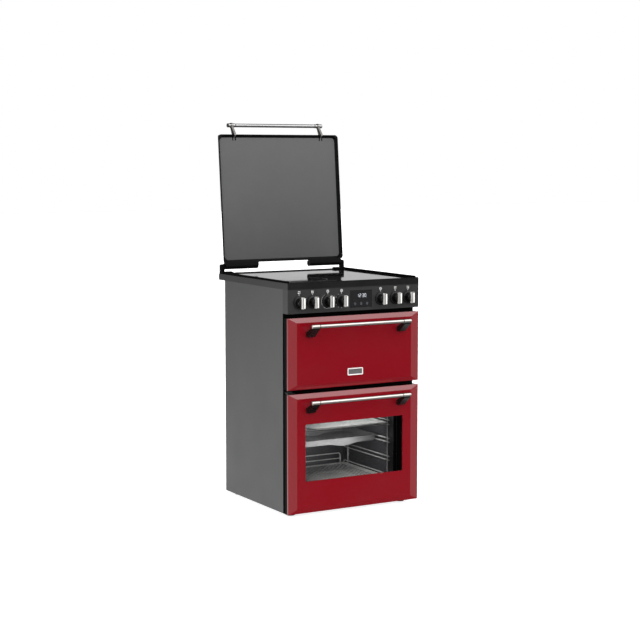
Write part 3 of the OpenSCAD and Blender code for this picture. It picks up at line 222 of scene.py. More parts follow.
def make_finishes(colours):
    """All the finishes of the cooker, by the name of the real material."""
    return {
        # Vitreous enamel fired on sheet steel: deep colour, hard gloss, faint orange peel 6 mm across
        "ruby_enamel": surface(
            "ruby_vitreous_enamel", colours.enamel, "#5e030d", grain=6, peel=0.02, rough=0.16, spread=0.04,
            IOR=1.5, Coat_Weight=0.3, Coat_Roughness=0.05),
        # Powder coat on the sides: satin, a little grey, fine peel 1.5 mm drawn at 4 mm so that it shows
        "side_powder_coat": surface(
            "grey_side_powder_coat", colours.side_paint, "#1a1a1b",
            grain=4, peel=0.03, rough=0.34, spread=0.06,
            IOR=1.5),
        # Black vitreous enamel of the oven door's hinge plates
        "black_enamel": surface(
            "black_vitreous_enamel", colours.gloss_black, "#111112",
            grain=5, peel=0.015, rough=0.2, spread=0.05,
            IOR=1.5),
        # The hob's folded edge: black with a low gloss
        "hob_edge": surface(
            "dull_black_hob_edge", "#060606", "#090909", grain=5, peel=0.02, rough=0.3, spread=0.05,
            IOR=1.5, Specular_IOR_Level=0.3),
        # Painted steel of the control panel: a softer, greyer black
        "panel_enamel": surface(
            "charcoal_panel_enamel", colours.panel_grey, "#222222",
            grain=5, peel=0.015, rough=0.3, spread=0.05,
            IOR=1.5, Specular_IOR_Level=0.25),
        # Oven enamel: dark grey with the pale specks that pyrolytic enamel has, 3 mm apart
        "oven_enamel": surface(
            "speckled_oven_enamel", "#1e1e20", "#29292b", grain=3, peel=0.02, rough=0.34, spread=0.08,
            cells=True, IOR=1.5),
        # Hot-dip galvanised sheet: spangles 18 mm across in two greys
        "galvanised_sheet": surface(
            "galvanised_steel_sheet", "#9a9c9e", "#7e8184", grain=18, peel=0.01, rough=0.42, spread=0.1,
            cells=True, Metallic=0.9),
        # Stainless sheet, rolled along X: grain 0.6 mm drawn at 3 mm
        "rolled_steel": surface(
            "rolled_stainless_steel", "#b2b3b3", "#9c9d9e", grain=3, peel=0.01, rough=0.32, spread=0.08,
            stretch=(0.08, 1, 1), Metallic=1.0),
        # Satin chrome of the door bars: bright, with fine drawing lines along the bar; its slight warmth is
        # a painted reflection of the red door under it, and its edge colour a painted dark reflection
        "satin_chrome": surface(
            "satin_chrome_plate", "#b9b5b0", "#aaa7a2", grain=2, peel=0.004, rough=0.3, spread=0.04,
            stretch=(0.05, 1, 1), edge="#1c1a1a", Metallic=0.9, Specular_Tint=(0.1, 0.1, 0.1, 1)),
        # Chrome of the lid's bar: neutral, as no red door lies under it; its edge colour is a painted
        # dark reflection
        "lid_chrome": surface(
            "neutral_chrome_plate", "#a6a6a6", "#989898", grain=2, peel=0.004, rough=0.3, spread=0.04,
            stretch=(0.05, 1, 1), edge="#080808", painted_reflection_span=(0.12, 0.5), Metallic=0.9,
            Specular_Tint=(0.1, 0.1, 0.1, 1)),
        # Smoked chrome of the lid bar's posts, darker than the bar; its edge colour is a painted
        # dark reflection
        "smoked_chrome": surface(
            "smoked_chrome_plate", "#8a8886", "#6f6d6b", grain=2, peel=0.004, rough=0.3, spread=0.05,
            edge="#141313", Metallic=0.8, Specular_Tint=(0.1, 0.1, 0.1, 1)),
        # Satin nickel on the knobs' grips and the bare plate's rim: bright from every side, fine cross grain
        "satin_nickel": surface(
            "satin_nickel_plate", "#ecebe8", "#bdbcb9", grain=1.6, peel=0.08, rough=0.42, spread=0.08,
            stretch=(0.1, 0.1, 1), Metallic=0.35),
        # Plated wire of the shelves and racks, dulled by heat
        "wire_chrome": surface(
            "heat_dulled_plated_wire", "#a8a8a5", "#8d8e8c", grain=12, peel=0.006, rough=0.4, spread=0.08,
            Metallic=0.2),
        # Aluminised steel of the roasting tray
        "tray_steel": surface(
            "aluminised_tray_steel", "#414141", "#383838", grain=7, peel=0.02, rough=0.42, spread=0.08,
            Metallic=0.15),
        # Matt black paint of the front and door frames, which the eye reads as a shadow gap; also the lid's
        # brackets, and painted shade: the strips for the lid's slots and the field round a grip's rib
        "frame_black_and_gap_shade": surface(
            "matt_black_frame_and_gap_shade_paint", "#050505", "#070707", grain=4, peel=0.02, rough=0.5, spread=0.06,
            IOR=1.5, Specular_IOR_Level=0.02),
        # Ceramic glass of the hob: black all through, mirror flat
        "ceramic_glass": surface(
            "black_glass_ceramic", "#070708", "#0b0b0c", grain=30, peel=0.001, rough=0.05, spread=0.02,
            IOR=1.45),
        # Lid: toughened glass printed dark grey behind, so it looks grey and glossy
        "printed_glass": surface(
            "grey_printed_glass", colours.lid_glass, "#404040",
            grain=40, peel=0.001, rough=0.12, spread=0.03,
            IOR=1.5),
        # Anodised aluminium rim of the lid, black with a soft sheen
        "black_anodised": surface(
            "black_anodised_aluminium", "#060606", "#090909", grain=3, peel=0.006, rough=0.36, spread=0.06,
            stretch=(0.1, 1, 1), Specular_IOR_Level=0.06),
        # Glossy black ABS with slight sink marks: knobs, bar brackets and feet
        "black_abs": surface(
            "glossy_black_abs", "#040404", "#070707", grain=8, peel=0.02, rough=0.26, spread=0.05,
            IOR=1.46, Specular_IOR_Level=0.3),
        # Technical nylon of housings: fine spark texture
        "grey_nylon": surface(
            "dark_grey_nylon", "#2a2a2c", "#323234", grain=1.5, peel=0.05, rough=0.58, spread=0.08,
            IOR=1.5),
        # Rubber of the strips under the lid
        "rest_rubber": surface(
            "matt_black_rubber", "#040404", "#080808", grain=2, peel=0.03, rough=0.62, spread=0.06,
            IOR=1.5, Specular_IOR_Level=0.04),
        # Silicone rope seal
        "silicone": surface(
            "black_silicone_rope", "#161616", "#1f1f1f", grain=1.2, peel=0.08, rough=0.7, spread=0.08,
            IOR=1.42),
        # Circuit board: green solder mask with darker copper runs 3 mm apart
        "board": surface(
            "green_solder_mask", "#1b5a33", "#123f24", grain=3, peel=0.03, rough=0.35, spread=0.08,
            stretch=(1, 0.2, 1), IOR=1.5),
        # Enamelled copper winding
        "copper": surface(
            "enamelled_copper_litz", "#b5713f", "#8f5227", grain=2, peel=0.05, rough=0.4, spread=0.08,
            Metallic=0.8),
        # Mineral wool: matted fibres in a yellow brown
        "wool": surface(
            "mineral_wool", "#c8bc94", "#a3956b", grain=6, peel=0.8, rough=0.95, spread=0.03,
            IOR=1.4),
        # Incoloy sheath of the heating elements, heat-tinted dark
        "sheath": surface(
            "heat_tinted_sheath", "#3c3834", "#4d4640", grain=5, peel=0.03, rough=0.48, spread=0.1,
            Metallic=0.7),
        # Borosilicate lens of the lamp
        "lens": clear_glass("borosilicate_lens", "#e8e8de", pass_share=0.55, rough=0.08),
        # Door panes: float glass with a grey heat-reflecting layer
        "door_glass": clear_glass("tinted_door_glass", "#050506", pass_share=0.86, rough=0.01),
        # Display window: black tinted glass
        "display_glass": surface(
            "black_display_glass", "#181819", "#1c1c1d", grain=20, peel=0.001, rough=0.06, spread=0.02,
            IOR=1.5),
        # Screen print: matt white ink on enamel
        "white_print": surface(
            "white_screen_print", "#c4c4c2", "#b0b0ae", grain=1.5, peel=0.02, rough=0.55, spread=0.05,
            IOR=1.5),
        # Grey screen print on the hob
        "grey_print": surface(
            "grey_screen_print", "#5e5e60", "#6a6a6c", grain=1.5, peel=0.01, rough=0.4, spread=0.05,
            IOR=1.5),
        # Black painted into each groove of the bars as its shade, and the black of the lid bar's ends
        "groove_shade_and_black_ends": surface(
            "matt_black_painted_groove_shade_and_ends", "#060606", "#0a0a0a", grain=2, peel=0.02, rough=0.6, spread=0.08,
            IOR=1.4),
        # Dark brushed field of the bare plate
        "plate_grey": surface(
            "dark_brushed_plate", "#4a4848", "#5c5a5a", grain=1.5, peel=0.01, rough=0.4, spread=0.06,
            stretch=(0.1, 1, 1), Metallic=0.4),
        # Zinc-plated screws
        "zinc": surface(
            "zinc_plated_screw", "#b9bbb6", "#9d9f98", grain=2, peel=0.01, rough=0.34, spread=0.06,
            Metallic=1.0),
        # Lit clock segments and the dim touch signs
        "lit_segment": glowing("lit_clock_segment", "#c8ccd4", strength=0.14),
        "dim_segment": glowing("dim_touch_sign", "#4a4c50", strength=0.03),
    }


NODE_FINISH = {
    "side_powder_coat": ["side_panel_left", "side_panel_right"],
    "galvanised_sheet": ["back_panel", "base_tray", "electronics_deck"],
    "black_enamel": ["oven_hinge_brackets"],
    "hob_edge": ["hob_frame"],
    "frame_black_and_gap_shade": ["front_frame", "grill_door_frame", "oven_door_frame", "lid_hinge_brackets"],
    "panel_enamel": ["fascia"],
    "grey_nylon": ["fan_motor", "rotary_switches", "blower_housing", "blower_wheel",
                   "terminal_cover", "cable_clamp"],
    "oven_enamel": ["main_oven_cavity", "top_oven_cavity", "fan_cover", "grill_door_liner"],
    "silicone": ["door_seals"],
    "wire_chrome": ["side_racks", "oven_shelf_upper", "oven_shelf_lower"],
    "rolled_steel": ["oven_fan", "coil_tray", "grill_hinge_brackets"],
    "tray_steel": ["roasting_tray"],
    "sheath": ["ring_element", "grill_element"],
    "lens": ["oven_lamp"],
    "wool": ["insulation"],
    "display_glass": ["display_glass"],
    "board": ["display_module", "power_boards"],
    "ceramic_glass": ["hob_glass"],
    "copper": ["induction_coils"],
    "black_anodised": ["lid_frame", "lid_hinge_barrels"],
    "printed_glass": ["lid_panel"],
    "smoked_chrome": ["lid_bar_posts"],
    "ruby_enamel": ["grill_door_skin", "oven_door_skin"],
    "black_abs": ["grill_bar_brackets", "oven_bar_brackets", "levelling_feet"],
    "door_glass": ["oven_door_outer_glass", "oven_door_inner_glass"],
}
FINISHES = {}


def finish(name):
    """A finish by its name; all of them are made when the first is asked for."""
    if not FINISHES:
        FINISHES.update(make_finishes(bpy.context.scene.cooker_colours))
    return FINISHES[name]


# Small modelling helpers

SOFT_EDGE = math.radians(32)  # edges that turn less than this are shaded smooth
WELD = 0.01 * MM


def keep(name, bm, body, finishes, stands_for=()):
    """Makes a mesh object of a bmesh, shades it, gives it its finishes and lets it ride on a body."""
    bmesh.ops.remove_doubles(bm, verts=bm.verts, dist=WELD)
    bmesh.ops.recalc_face_normals(bm, faces=bm.faces)
    for face in bm.faces:
        face.smooth = True
    for edge in bm.edges:
        edge.smooth = len(edge.link_faces) == 2 and edge.calc_face_angle(0) < SOFT_EDGE
    mesh = bpy.data.meshes.new(name)
    bm.to_mesh(mesh)
    bm.free()
    obj = bpy.data.objects.new(name, mesh)
    bpy.context.scene.collection.objects.link(obj)
    for one in finishes:
        mesh.materials.append(finish(one))
    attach(obj, body)
    if stands_for:
        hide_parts(*stands_for)


def bevel(bm, edges, offset, segments):
    """Rounds edges in a few steps."""
    bmesh.ops.bevel(bm, geom=edges, affect="EDGES", offset=offset, offset_type="OFFSET",
                    segments=segments, profile=0.5, material=-1)


def rounded_block(bm, low, high, radius, segments=3, material=0):
    """A block between two corners with rounded edges; it returns the block's faces."""
    size = Vector(high) - Vector(low)
    place = Matrix.Translation((Vector(low) + Vector(high)) / 2) @ Matrix.Diagonal((*size, 1))
    before = set(bm.faces)
    made = bmesh.ops.create_cube(bm, size=1, matrix=place)
    if radius:
        bevel(bm, list({e for v in made["verts"] for e in v.link_edges}), radius, segments)
    faces = [face for face in bm.faces if face not in before]
    for face in faces:
        face.material_index = material
    return faces


def turned(bm, outline, centre, axis, steps, marks=()):
    """Spins an outline of (along, radius) points in millimetres round an axis through centre.

    Each mark gives a stretch of the axis, from and to in millimetres, and the material of its faces."""
    axis = Vector(axis)
    side = axis.orthogonal().normalized()
    verts = [bm.verts.new(Vector(centre) + axis * along * MM + side * r * MM) for along, r in outline]
    edges = [bm.edges.new(pair) for pair in zip(verts, verts[1:])]
    before = set(bm.faces)
    bmesh.ops.spin(bm, geom=verts + edges, cent=centre, axis=axis, angle=math.tau, steps=steps,
                   use_merge=True)
    for face in set(bm.faces) - before:
        along = (face.calc_center_median() - Vector(centre)).dot(axis) / MM
        for low, high, material in marks:
            if low < along < high:
                face.material_index = material


def disc(bm, centre, radius, depth, steps, inner=0.0, start=0.0, sweep=math.tau, flat=False):
    """A printed dot, ring or arc of the given depth, standing on a wall or lying on a flat top."""
    axis = Vector((0, 0, 1)) if flat else Vector((0, -1, 0))
    side = Vector((0, 1, 0)) if flat else Vector((0, 0, 1))
    across = side.cross(axis)
    arm = side * math.cos(start) + across * math.sin(start)
    full = sweep == math.tau
    corners = [(inner, 0), (radius, 0), (radius, depth), (inner, depth)]
    if not inner:
        corners = [(0, depth), (radius, depth), (radius, 0), (0, 0)]
    verts = [bm.verts.new(Vector(centre) + arm * r + axis * d) for r, d in corners]
    edges = [bm.edges.new(pair) for pair in zip(verts, verts[1:] + (verts[:1] if inner else []))]
    ends = bmesh.ops.spin(bm, geom=verts + edges, cent=centre, axis=axis, angle=-sweep, steps=steps,
                          use_merge=full)
    if not full:
        bm.faces.new(verts)
        bm.faces.new([g for g in ends["geom_last"] if isinstance(g, bmesh.types.BMVert)])


def lid_point(x, along, above):
    """A place on the open lid, from its hinge axis: along the lid and above its middle, in metres."""
    y = along * math.sin(LID_LEAN) + above * math.cos(LID_LEAN)
    z = along * math.cos(LID_LEAN) - above * math.sin(LID_LEAN)
    return Vector((x, HINGE.y + y, HINGE.z + z))


def knob_centre(n):
    """The place of a knob's axis, across and up."""
    low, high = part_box(f"knob_{n}")
    return (low.x + high.x) / 2, (low.z + high.z) / 2


# Pieces

class COOKER_OT_finishes(bpy.types.Operator):
    """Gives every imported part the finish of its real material"""
    bl_idname = "cooker.finishes"
    bl_label = "Finish the packed parts"

    def execute(self, context):
        for name, nodes in NODE_FINISH.items():
            for node in nodes:
                obj = frame["nodes"][node]
                if not obj.data.materials:
                    obj.data.materials.append(finish(name))
                for slot in obj.material_slots:
                    slot.material = finish(name)
        return {"FINISHED"}


class COOKER_OT_knobs(bpy.types.Operator):
    """Seven knobs: a black skirt and hub, and a nickel grip with a black field round its rib,
    painted as the shade of a reveal
    """
    bl_idname = "cooker.knobs"
    bl_label = "Knobs"

    def skirt(self, centre):
        """Shaft, skirt with a rounded rim and a tapered hub, in millimetres before the panel."""
        shaft_end, shaft_r = -16.5, 3
        back, front, rim_r = 1.5, 5.5, 26
        foot, foot_r = 9, 19
        end, end_r = 29, 16.4
        outline = [(shaft_end, 0), (shaft_end, shaft_r), (back, shaft_r), (back, rim_r - 1),
                   (back + 0.5, rim_r), (front - 1.1, rim_r), (front - 0.3, rim_r - 0.5),
                   (front, rim_r - 1.4), (front, foot_r + 1.6), (front + 0.5, foot_r + 0.6), (foot, foot_r),
                   (end - 2.4, end_r), (end - 0.8, end_r - 0.6), (end, end_r - 1.8), (end, 0)]
        bm = bmesh.new()
        turned(bm, outline, centre, (0, -1, 0), 56)
        return bm

    def grip(self, x, z):
        """A nickel bar, a black field on its front, painted as the shade of the reveal round the rib,
        and a nickel rib on that, in millimetres.
        """
        half_w, half_h, reach = 5.5, 22, 45
        # The middle row is painted shade: a black layer that shows round the rib as the shade of a reveal
        # Back and front before the panel, how far it is set in from the bar's sides, its bevel and material
        bar, field, rib = (27, 43.3, 0, 0.4, 0), (42.8, 44.1, 0.1, 0.2, 1), (43.8, reach, 2.1, 0.5, 0)
        bm = bmesh.new()
        for deep, near, inset, edge, material in (bar, field, rib):
            w, h = (half_w - inset) * MM, (half_h - inset) * MM
            rounded_block(bm, (x - w, FRONT - near * MM, z - h), (x + w, FRONT - deep * MM, z + h),
                          edge * MM, 3, material)
        return bm

    def execute(self, context):
        for n in KNOBS:
            x, z = knob_centre(n)
            body, node = f"knob_{n}_body", f"knob_{n}"
            keep(f"knob_{n}_skirt", self.skirt((x, FRONT, z)), body, ["black_abs"], [node])
            keep(f"knob_{n}_grip", self.grip(x, z), body, ["satin_nickel", "frame_black_and_gap_shade"], [node])
        return {"FINISHED"}


class COOKER_OT_bars(bpy.types.Operator):
    """The three bars, turned from one profile with a collar and a groove at each end,
    painted black as the groove's shade
    """
    bl_idname = "cooker.bars"
    bl_label = "Handle bars"

    def execute(self, context):
        half, bar_r = 226.8, 7.5
        collar, collar_r = 37, 8.25
        groove_r = 6.6
        inner = half - collar
        end = [(0, bar_r), (inner - 0.6, bar_r), (inner - 0.3, groove_r), (inner + 2.3, groove_r),
               (inner + 2.5, collar_r - 0.45), (inner + 3, collar_r), (half - 4, collar_r),
               (half - 1.5, collar_r), (half - 0.5, collar_r - 0.45), (half, collar_r - 1.45), (half, 0)]
        outline = [(-along, r) for along, r in reversed(end)] + end[1:]
        # Painted shade: the faces in each groove take the black finish
        groove_middle, groove_half = inner + 1, 1.45
        grooves = [(s * groove_middle - groove_half, s * groove_middle + groove_half, 1) for s in (-1, 1)]
        # The lid bar has black ends; the left one reaches over its first 3 mm
        ends = [(-half - 1, -half + 3, 1), (half - 0.02, half + 1, 1)]
        for node, body, plating, marks in (("grill_door_bar", "grill_door", "satin_chrome", grooves),
                                           ("oven_door_bar", "oven_door", "satin_chrome", grooves),
                                           ("lid_bar", "lid", "lid_chrome", grooves + ends)):
            low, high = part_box(node)
            bm = bmesh.new()
            turned(bm, outline, (low + high) / 2, (1, 0, 0), 40, marks)
            keep(f"{node}_polished", bm, body, [plating, "groove_shade_and_black_ends"], [node])
        return {"FINISHED"}


class COOKER_OT_plate(bpy.types.Operator):
    """The bare rimmed plate low on the grill door"""
    bl_idname = "cooker.plate"
    bl_label = "Bare plate"

    def execute(self, context):
        sizes = context.scene.cooker_sizes
        thick, corner_r, rim_r, rim_w, sunk = 2 * MM, 4 * MM, 0.6 * MM, 3 * MM, 0.7 * MM
        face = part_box("grill_door_skin")[0].y
        middle_z = 559.5 * MM
        bm = bmesh.new()
        place = Matrix.Translation((0, face - thick / 2, middle_z))
        place = place @ Matrix.Diagonal((sizes.plate_w, thick, sizes.plate_h, 1))
        made = bmesh.ops.create_cube(bm, size=1, matrix=place)
        corners = [e for e in {e for v in made["verts"] for e in v.link_edges}
                   if abs((e.verts[0].co - e.verts[1].co).y) > thick / 2]
        bevel(bm, corners, corner_r, 5)
        front = min(bm.faces, key=lambda f: f.calc_center_median().y)
        bevel(bm, list(front.edges), rim_r, 2)
        front = min(bm.faces, key=lambda f: (round(f.calc_center_median().y, 6), -f.calc_area()))
        bmesh.ops.inset_region(bm, faces=[front], thickness=rim_w)
        bmesh.ops.translate(bm, verts=front.verts, vec=(0, sunk, 0))
        front.material_index = 1
        keep("bare_door_plate", bm, "grill_door", ["satin_nickel", "plate_grey"])
        return {"FINISHED"}


class COOKER_OT_marks(bpy.types.Operator):
    """Signs over the knobs and the marks round the two oven knobs, printed in white"""
    bl_idname = "cooker.marks"
    bl_label = "Panel print"
    ink = 0.12 * MM
    # The hob knobs, and where each one's zone lies: left or right, front or rear
    own_zones = {1: (-1, -1), 2: (-1, 1), 6: (1, 1), 7: (1, -1)}

    def hob_sign(self, bm, x, z, size, own):
        """A hob seen from above: four zones, the knob's own filled."""
        apart, outer, hole = size * 0.25, size * 0.2, size * 0.12
        for sx in (-1, 1):
            for sz in (-1, 1):
                disc(bm, (x + sx * apart, FRONT, z + sz * apart), outer, self.ink, 14,
                     inner=0 if (sx, sz) == own else hole)

    def oven_sign(self, bm, x, z, size):
        """An oven seen from the front: a ring with a bar in it."""
        half_w, half_h = size * 0.2, size * 0.07
        disc(bm, (x, FRONT, z), size * 0.46, self.ink, 20, inner=size * 0.32)
        rounded_block(bm, (x - half_w, FRONT - self.ink, z - half_h), (x + half_w, FRONT, z + half_h), 0)

    def execute(self, context):
        sizes = context.scene.cooker_sizes
        ring, line = sizes.mark_ring, 0.55 * MM
        sign_up, tick_low, tick_high, tick_half = 39 * MM, 27.5 * MM, 32.5 * MM, 0.8 * MM
        dot_r, dots, step = 1.1 * MM, 9, math.radians(30)
        bm = bmesh.new()
        for n in KNOBS:
            x, z = knob_centre(n)
            if n in self.own_zones:
                self.hob_sign(bm, x, z + sign_up, sizes.icon_size, self.own_zones[n])
            else:
                self.oven_sign(bm, x, z + sign_up, sizes.icon_size)
            rounded_block(bm, (x - tick_half, FRONT - self.ink, z + tick_low),
                          (x + tick_half, FRONT, z + tick_high), 0)
            if n == RING_KNOB:
                disc(bm, (x, FRONT, z), ring, self.ink, 40, inner=ring - line,
                     start=step, sweep=math.tau - 2 * step)
            if n == DOT_KNOB:
                for turn in (step * (k + 1) for k in range(dots)):
                    centre = (x - ring * math.sin(turn), FRONT, z + ring * math.cos(turn))
                    disc(bm, centre, dot_r, self.ink, 10)
        keep("panel_print", bm, "cooker", ["white_print"])
        return {"FINISHED"}


class COOKER_OT_clock(bpy.types.Operator):
    """The clock's lit digits and three dim touch signs behind the display glass"""
    bl_idname = "cooker.clock"
    bl_label = "Clock"
    # Each segment of a digit: across and up from its middle in half sizes, and whether it lies flat
    segments = {"a": (0, 1, True), "b": (1, 0.5, False), "c": (1, -0.5, False), "d": (0, -1, True),
                "e": (-1, -0.5, False), "f": (-1, 0.5, False), "g": (0, 0, True)}
    lit = {"0": "abcdef", "1": "bc", "2": "abged", "3": "abgcd"}

    def digits(self, middle, h):
        """Two digits, a colon and two digits, round a middle on the glass."""
        w, stroke, deep = h * 0.5, h * 0.09, 0.15 * MM
        pitch, colon_room, dot_up = h * 0.82, h * 0.14, h * 0.22
        bm = bmesh.new()
        for k, digit in enumerate("1230"):
            across = (k - 1.5) * pitch + (colon_room if k > 1 else -colon_room)
            for name in self.lit[digit]:
                px, pz, flat = self.segments[name]
                sx, sz = (w / 2 - stroke * 0.6, stroke / 2) if flat else (stroke / 2, h / 4 - stroke * 0.6)
                centre = middle + Vector((across + px * w / 2, 0, pz * h / 2))
                rounded_block(bm, centre - Vector((sx, deep, sz)), centre + Vector((sx, 0, sz)), 0)
        for s in (-1, 1):
            disc(bm, middle + Vector((0, 0, s * dot_up)), stroke * 0.55, deep, 10)
        return bm

    def touch_signs(self, middle):
        """Three rings, each with a dot in it."""
        apart, ring_r, line, dot_r, deep = 28 * MM, 5 * MM, 1 * MM, 1.6 * MM, 0.1 * MM
        bm = bmesh.new()
        for k in (-1, 0, 1):
            centre = middle + Vector((k * apart, 0, 0))
            disc(bm, centre, ring_r, deep, 24, inner=ring_r - line)
            disc(bm, centre, dot_r, deep, 12)
        return bm

    def execute(self, context):
        low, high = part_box("display_glass")
        glass = Vector(((low.x + high.x) / 2, low.y, (low.z + high.z) / 2))
        clock_at, signs_at = Vector((2, 0, 13)) * MM, Vector((0, 0, -19)) * MM
        clock = self.digits(glass + clock_at, context.scene.cooker_sizes.digit_h)
        keep("clock_digits", clock, "cooker", ["lit_segment"])
        keep("touch_signs", self.touch_signs(glass + signs_at), "cooker", ["dim_segment"])
        return {"FINISHED"}


class COOKER_OT_hob_print(bpy.types.Operator):
    """Fine grey rings on the glass over the four coils"""
    bl_idname = "cooker.hob_print"
    bl_label = "Hob print"

    def execute(self, context):
        low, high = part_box("induction_coils")
        wide, small = 90 * MM, 72 * MM
        ink, line, dot_r, dot_in = 0.06 * MM, 1.2 * MM, 1.4 * MM, 9 * MM
        left, right = low.x + wide, high.x - wide
        near, far = low.y + wide, high.y - small
        bm = bmesh.new()
        for x, y, r in ((left, near, wide), (left, far, small), (right, near, small), (right, far, wide)):
            disc(bm, (x, y, HOB_TOP), r, ink, 64, inner=r - line, flat=True)
            for quarter in range(4):
                arm = Matrix.Rotation(quarter * math.pi / 2, 4, "Z") @ Vector((r - dot_in, 0, 0))
                disc(bm, (x + arm.x, y + arm.y, HOB_TOP), dot_r, ink, 10, flat=True)
        keep("zone_rings", bm, "cooker", ["grey_print"])
        return {"FINISHED"}


class COOKER_OT_strips(bpy.types.Operator):
    """Black rubber strips round the glass, on which the lid comes to rest"""
    bl_idname = "cooker.strips"
    bl_label = "Rest strips"

    def execute(self, context):
        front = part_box("hob_frame")[0].y
        rear = HINGE.y - 30 * MM
        edge, glass_edge, rail = 299.2 * MM, 290.5 * MM, 291 * MM
        lip = 0.8 * MM
        # Inner and outer side, front end, foot and top: a flat strip beside the glass, and the raised rail
        flat = (glass_edge, edge, front + lip, HOB_TOP, HOB_TOP + 2.2 * MM)
        raised = (rail - 3 * MM, rail + 1 * MM, front + 9 * MM, HOB_TOP + 0.5 * MM, HOB_TOP + 8 * MM)
        bm = bmesh.new()
        for s in (-1, 1):
            for inner, outer, start, foot, top in (flat, raised):
                x = sorted((s * outer, s * inner))
                rounded_block(bm, (x[0], start, foot), (x[1], rear, top), lip, 2)
        cross, cross_w, cross_h = 290 * MM, 7.8 * MM, 1.4 * MM
        rounded_block(bm, (-cross, front + lip, HOB_TOP), (cross, front + lip + cross_w, HOB_TOP + cross_h),
                      0.5 * MM, 2)
        keep("lid_rest_strips", bm, "cooker", ["rest_rubber"])
        return {"FINISHED"}


class COOKER_OT_lid_trim(bpy.types.Operator):
    """Black strips beside each strap on the lid's rim, painted as the shade of the slots there,
    and the screws of its hinge brackets
    """
    bl_idname = "cooker.lid_trim"
    bl_label = "Lid trim"

    def strip(self, bm, start, end):
        """A thin strip that lies along a line on the lid."""
        half_w, half_t, long = 2.2 * MM, 0.6 * MM, (end - start).length / 2
        faces = rounded_block(bm, (-half_w, -half_t, -long), (half_w, half_t, long), 0.4 * MM, 2)
        turn = (end - start).to_track_quat("Z", "X").to_matrix().to_4x4()
        turn = Matrix.Translation((start + end) / 2) @ turn @ Matrix.Rotation(math.pi / 2, 4, "Z")
        bmesh.ops.transform(bm, matrix=turn, verts=list({v for f in faces for v in f.verts}))

    def execute(self, context):
        reach, strap_x, beside = 545.2 * MM, 207.8 * MM, 6.2 * MM
        # How far in from the lid's free edge, and how high, a strip starts and ends: on the rim, on the panel
        on_rim = (1.5 * MM, -17.2 * MM, 13 * MM, -4.8 * MM)
        on_panel = (12 * MM, -4.7 * MM, 24 * MM, -4.7 * MM)
        # Painted shade: a thin black strip lies where each slot beside a strap would be dark
        bm = bmesh.new()
        for s in (-1, 1):
            for side in (-1, 1):
                x = s * strap_x + side * beside
                for near, above, far, sunk in (on_rim, on_panel):
                    self.strip(bm, lid_point(x, reach - near, above), lid_point(x, reach - far, sunk))
        keep("painted_shade_lid_slots", bm, "lid", ["frame_black_and_gap_shade"])
        head_r, head_h = 4.2, 1.3
        outline = [(0, 0), (0, head_r), (head_h - 0.5, head_r), (head_h, head_r - 0.6), (head_h, 0)]
        bracket_x, before_pin, under_pin = 284.5 * MM, 6.5 * MM, 2 * MM
        bm = bmesh.new()
        for s in (-1, 1):
            turned(bm, outline, (s * bracket_x, HINGE.y - before_pin, HINGE.z - under_pin), (0, -1, 0), 24)
        keep("hinge_screws", bm, "cooker", ["zinc"])
        return {"FINISHED"}


class COOKER_OT_screws(bpy.types.Operator):
    """Pan-head screws of the back panel and the terminal cover"""
    bl_idname = "cooker.screws"
    bl_label = "Back screws"

    def execute(self, context):
        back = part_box("back_panel")[1].y
        low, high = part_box("terminal_cover")
        cover = ((low.x + high.x) / 2, (low.z + high.z) / 2)
        # In millimetres: a column at each side, a row at bottom and top, and two screws on the cover
        side_x, side_rows = 291, (40, 250, 460, 670, 870)
        rows, row_x = (24, 884), (-180, 0, 180)
        cover_x, cover_z = 40 * MM, 30 * MM
        places = [(s * side_x * MM, back, z * MM) for s in (-1, 1) for z in side_rows]
        places += [(x * MM, back, z * MM) for x in row_x for z in rows]
        places += [(cover[0] + s * cover_x, high.y, cover[1] + s * cover_z) for s in (-1, 1)]
        # A domed head with a round recess
        head_r, head_h, recess_r = 3.6, 1.9, 1.2
        outline = [(0, 0), (0, head_r), (0.9, head_r - 0.2), (head_h - 0.3, head_r - 1), (head_h, recess_r),
                   (head_h - 0.5, recess_r - 0.3), (head_h - 0.5, 0)]
        bm = bmesh.new()
        for place in places:
            turned(bm, outline, place, (0, 1, 0), 16)
        keep("back_screws", bm, "cooker", ["zinc"])
        return {"FINISHED"}


# Camera, floor and light

# The camera that was solved on the photograph's edges: metres, radians and millimetres of film
EYE_X, EYE_BEFORE_PANEL, EYE_Z = -3.1569, 5.1766, 1.4051
EYE_DOWN, EYE_TURN = 0.1057, 0.5252
LENS, FILM = 87.32, 36.0
FLOOR_HALF = 30
SOFTBOX_STRENGTH = 3.0
WALL_STRENGTH = 0.72
# Where the flat door faces mirror the room
FLAG_AIM = (0.499, -0.860, -0.105)


def place_camera(scene):
    """Stands where the photograph was taken from."""
    camera = bpy.data.cameras.new("photo_camera")
    camera.lens, camera.sensor_width = LENS, FILM
    camera.clip_end = 100
    eye = bpy.data.objects.new("photo_camera", camera)
    eye.location = (EYE_X, FRONT - EYE_BEFORE_PANEL, EYE_Z)
    eye.rotation_euler = (math.pi / 2 - EYE_DOWN, 0, -EYE_TURN)
    scene.collection.objects.link(eye)
    scene.camera = eye


def lay_floor(scene):
    """Seamless paper, white with a barely seen tooth 12 mm across."""
    bm = bmesh.new()
    bmesh.ops.create_grid(bm, x_segments=1, y_segments=1, size=FLOOR_HALF)
    mesh = bpy.data.meshes.new("studio_floor")
    bm.to_mesh(mesh)
    bm.free()
    floor = bpy.data.objects.new("studio_floor", mesh)
    scene.collection.objects.link(floor)
    mesh.materials.append(surface(
        "white_studio_paper", "#d8d8d8", "#d4d4d4", grain=12, peel=0.02, rough=0.9, spread=0.02,
        IOR=1.3, Emission_Color=(1, 1, 1, 1), Emission_Strength=0.8))
    floor.visible_glossy = False


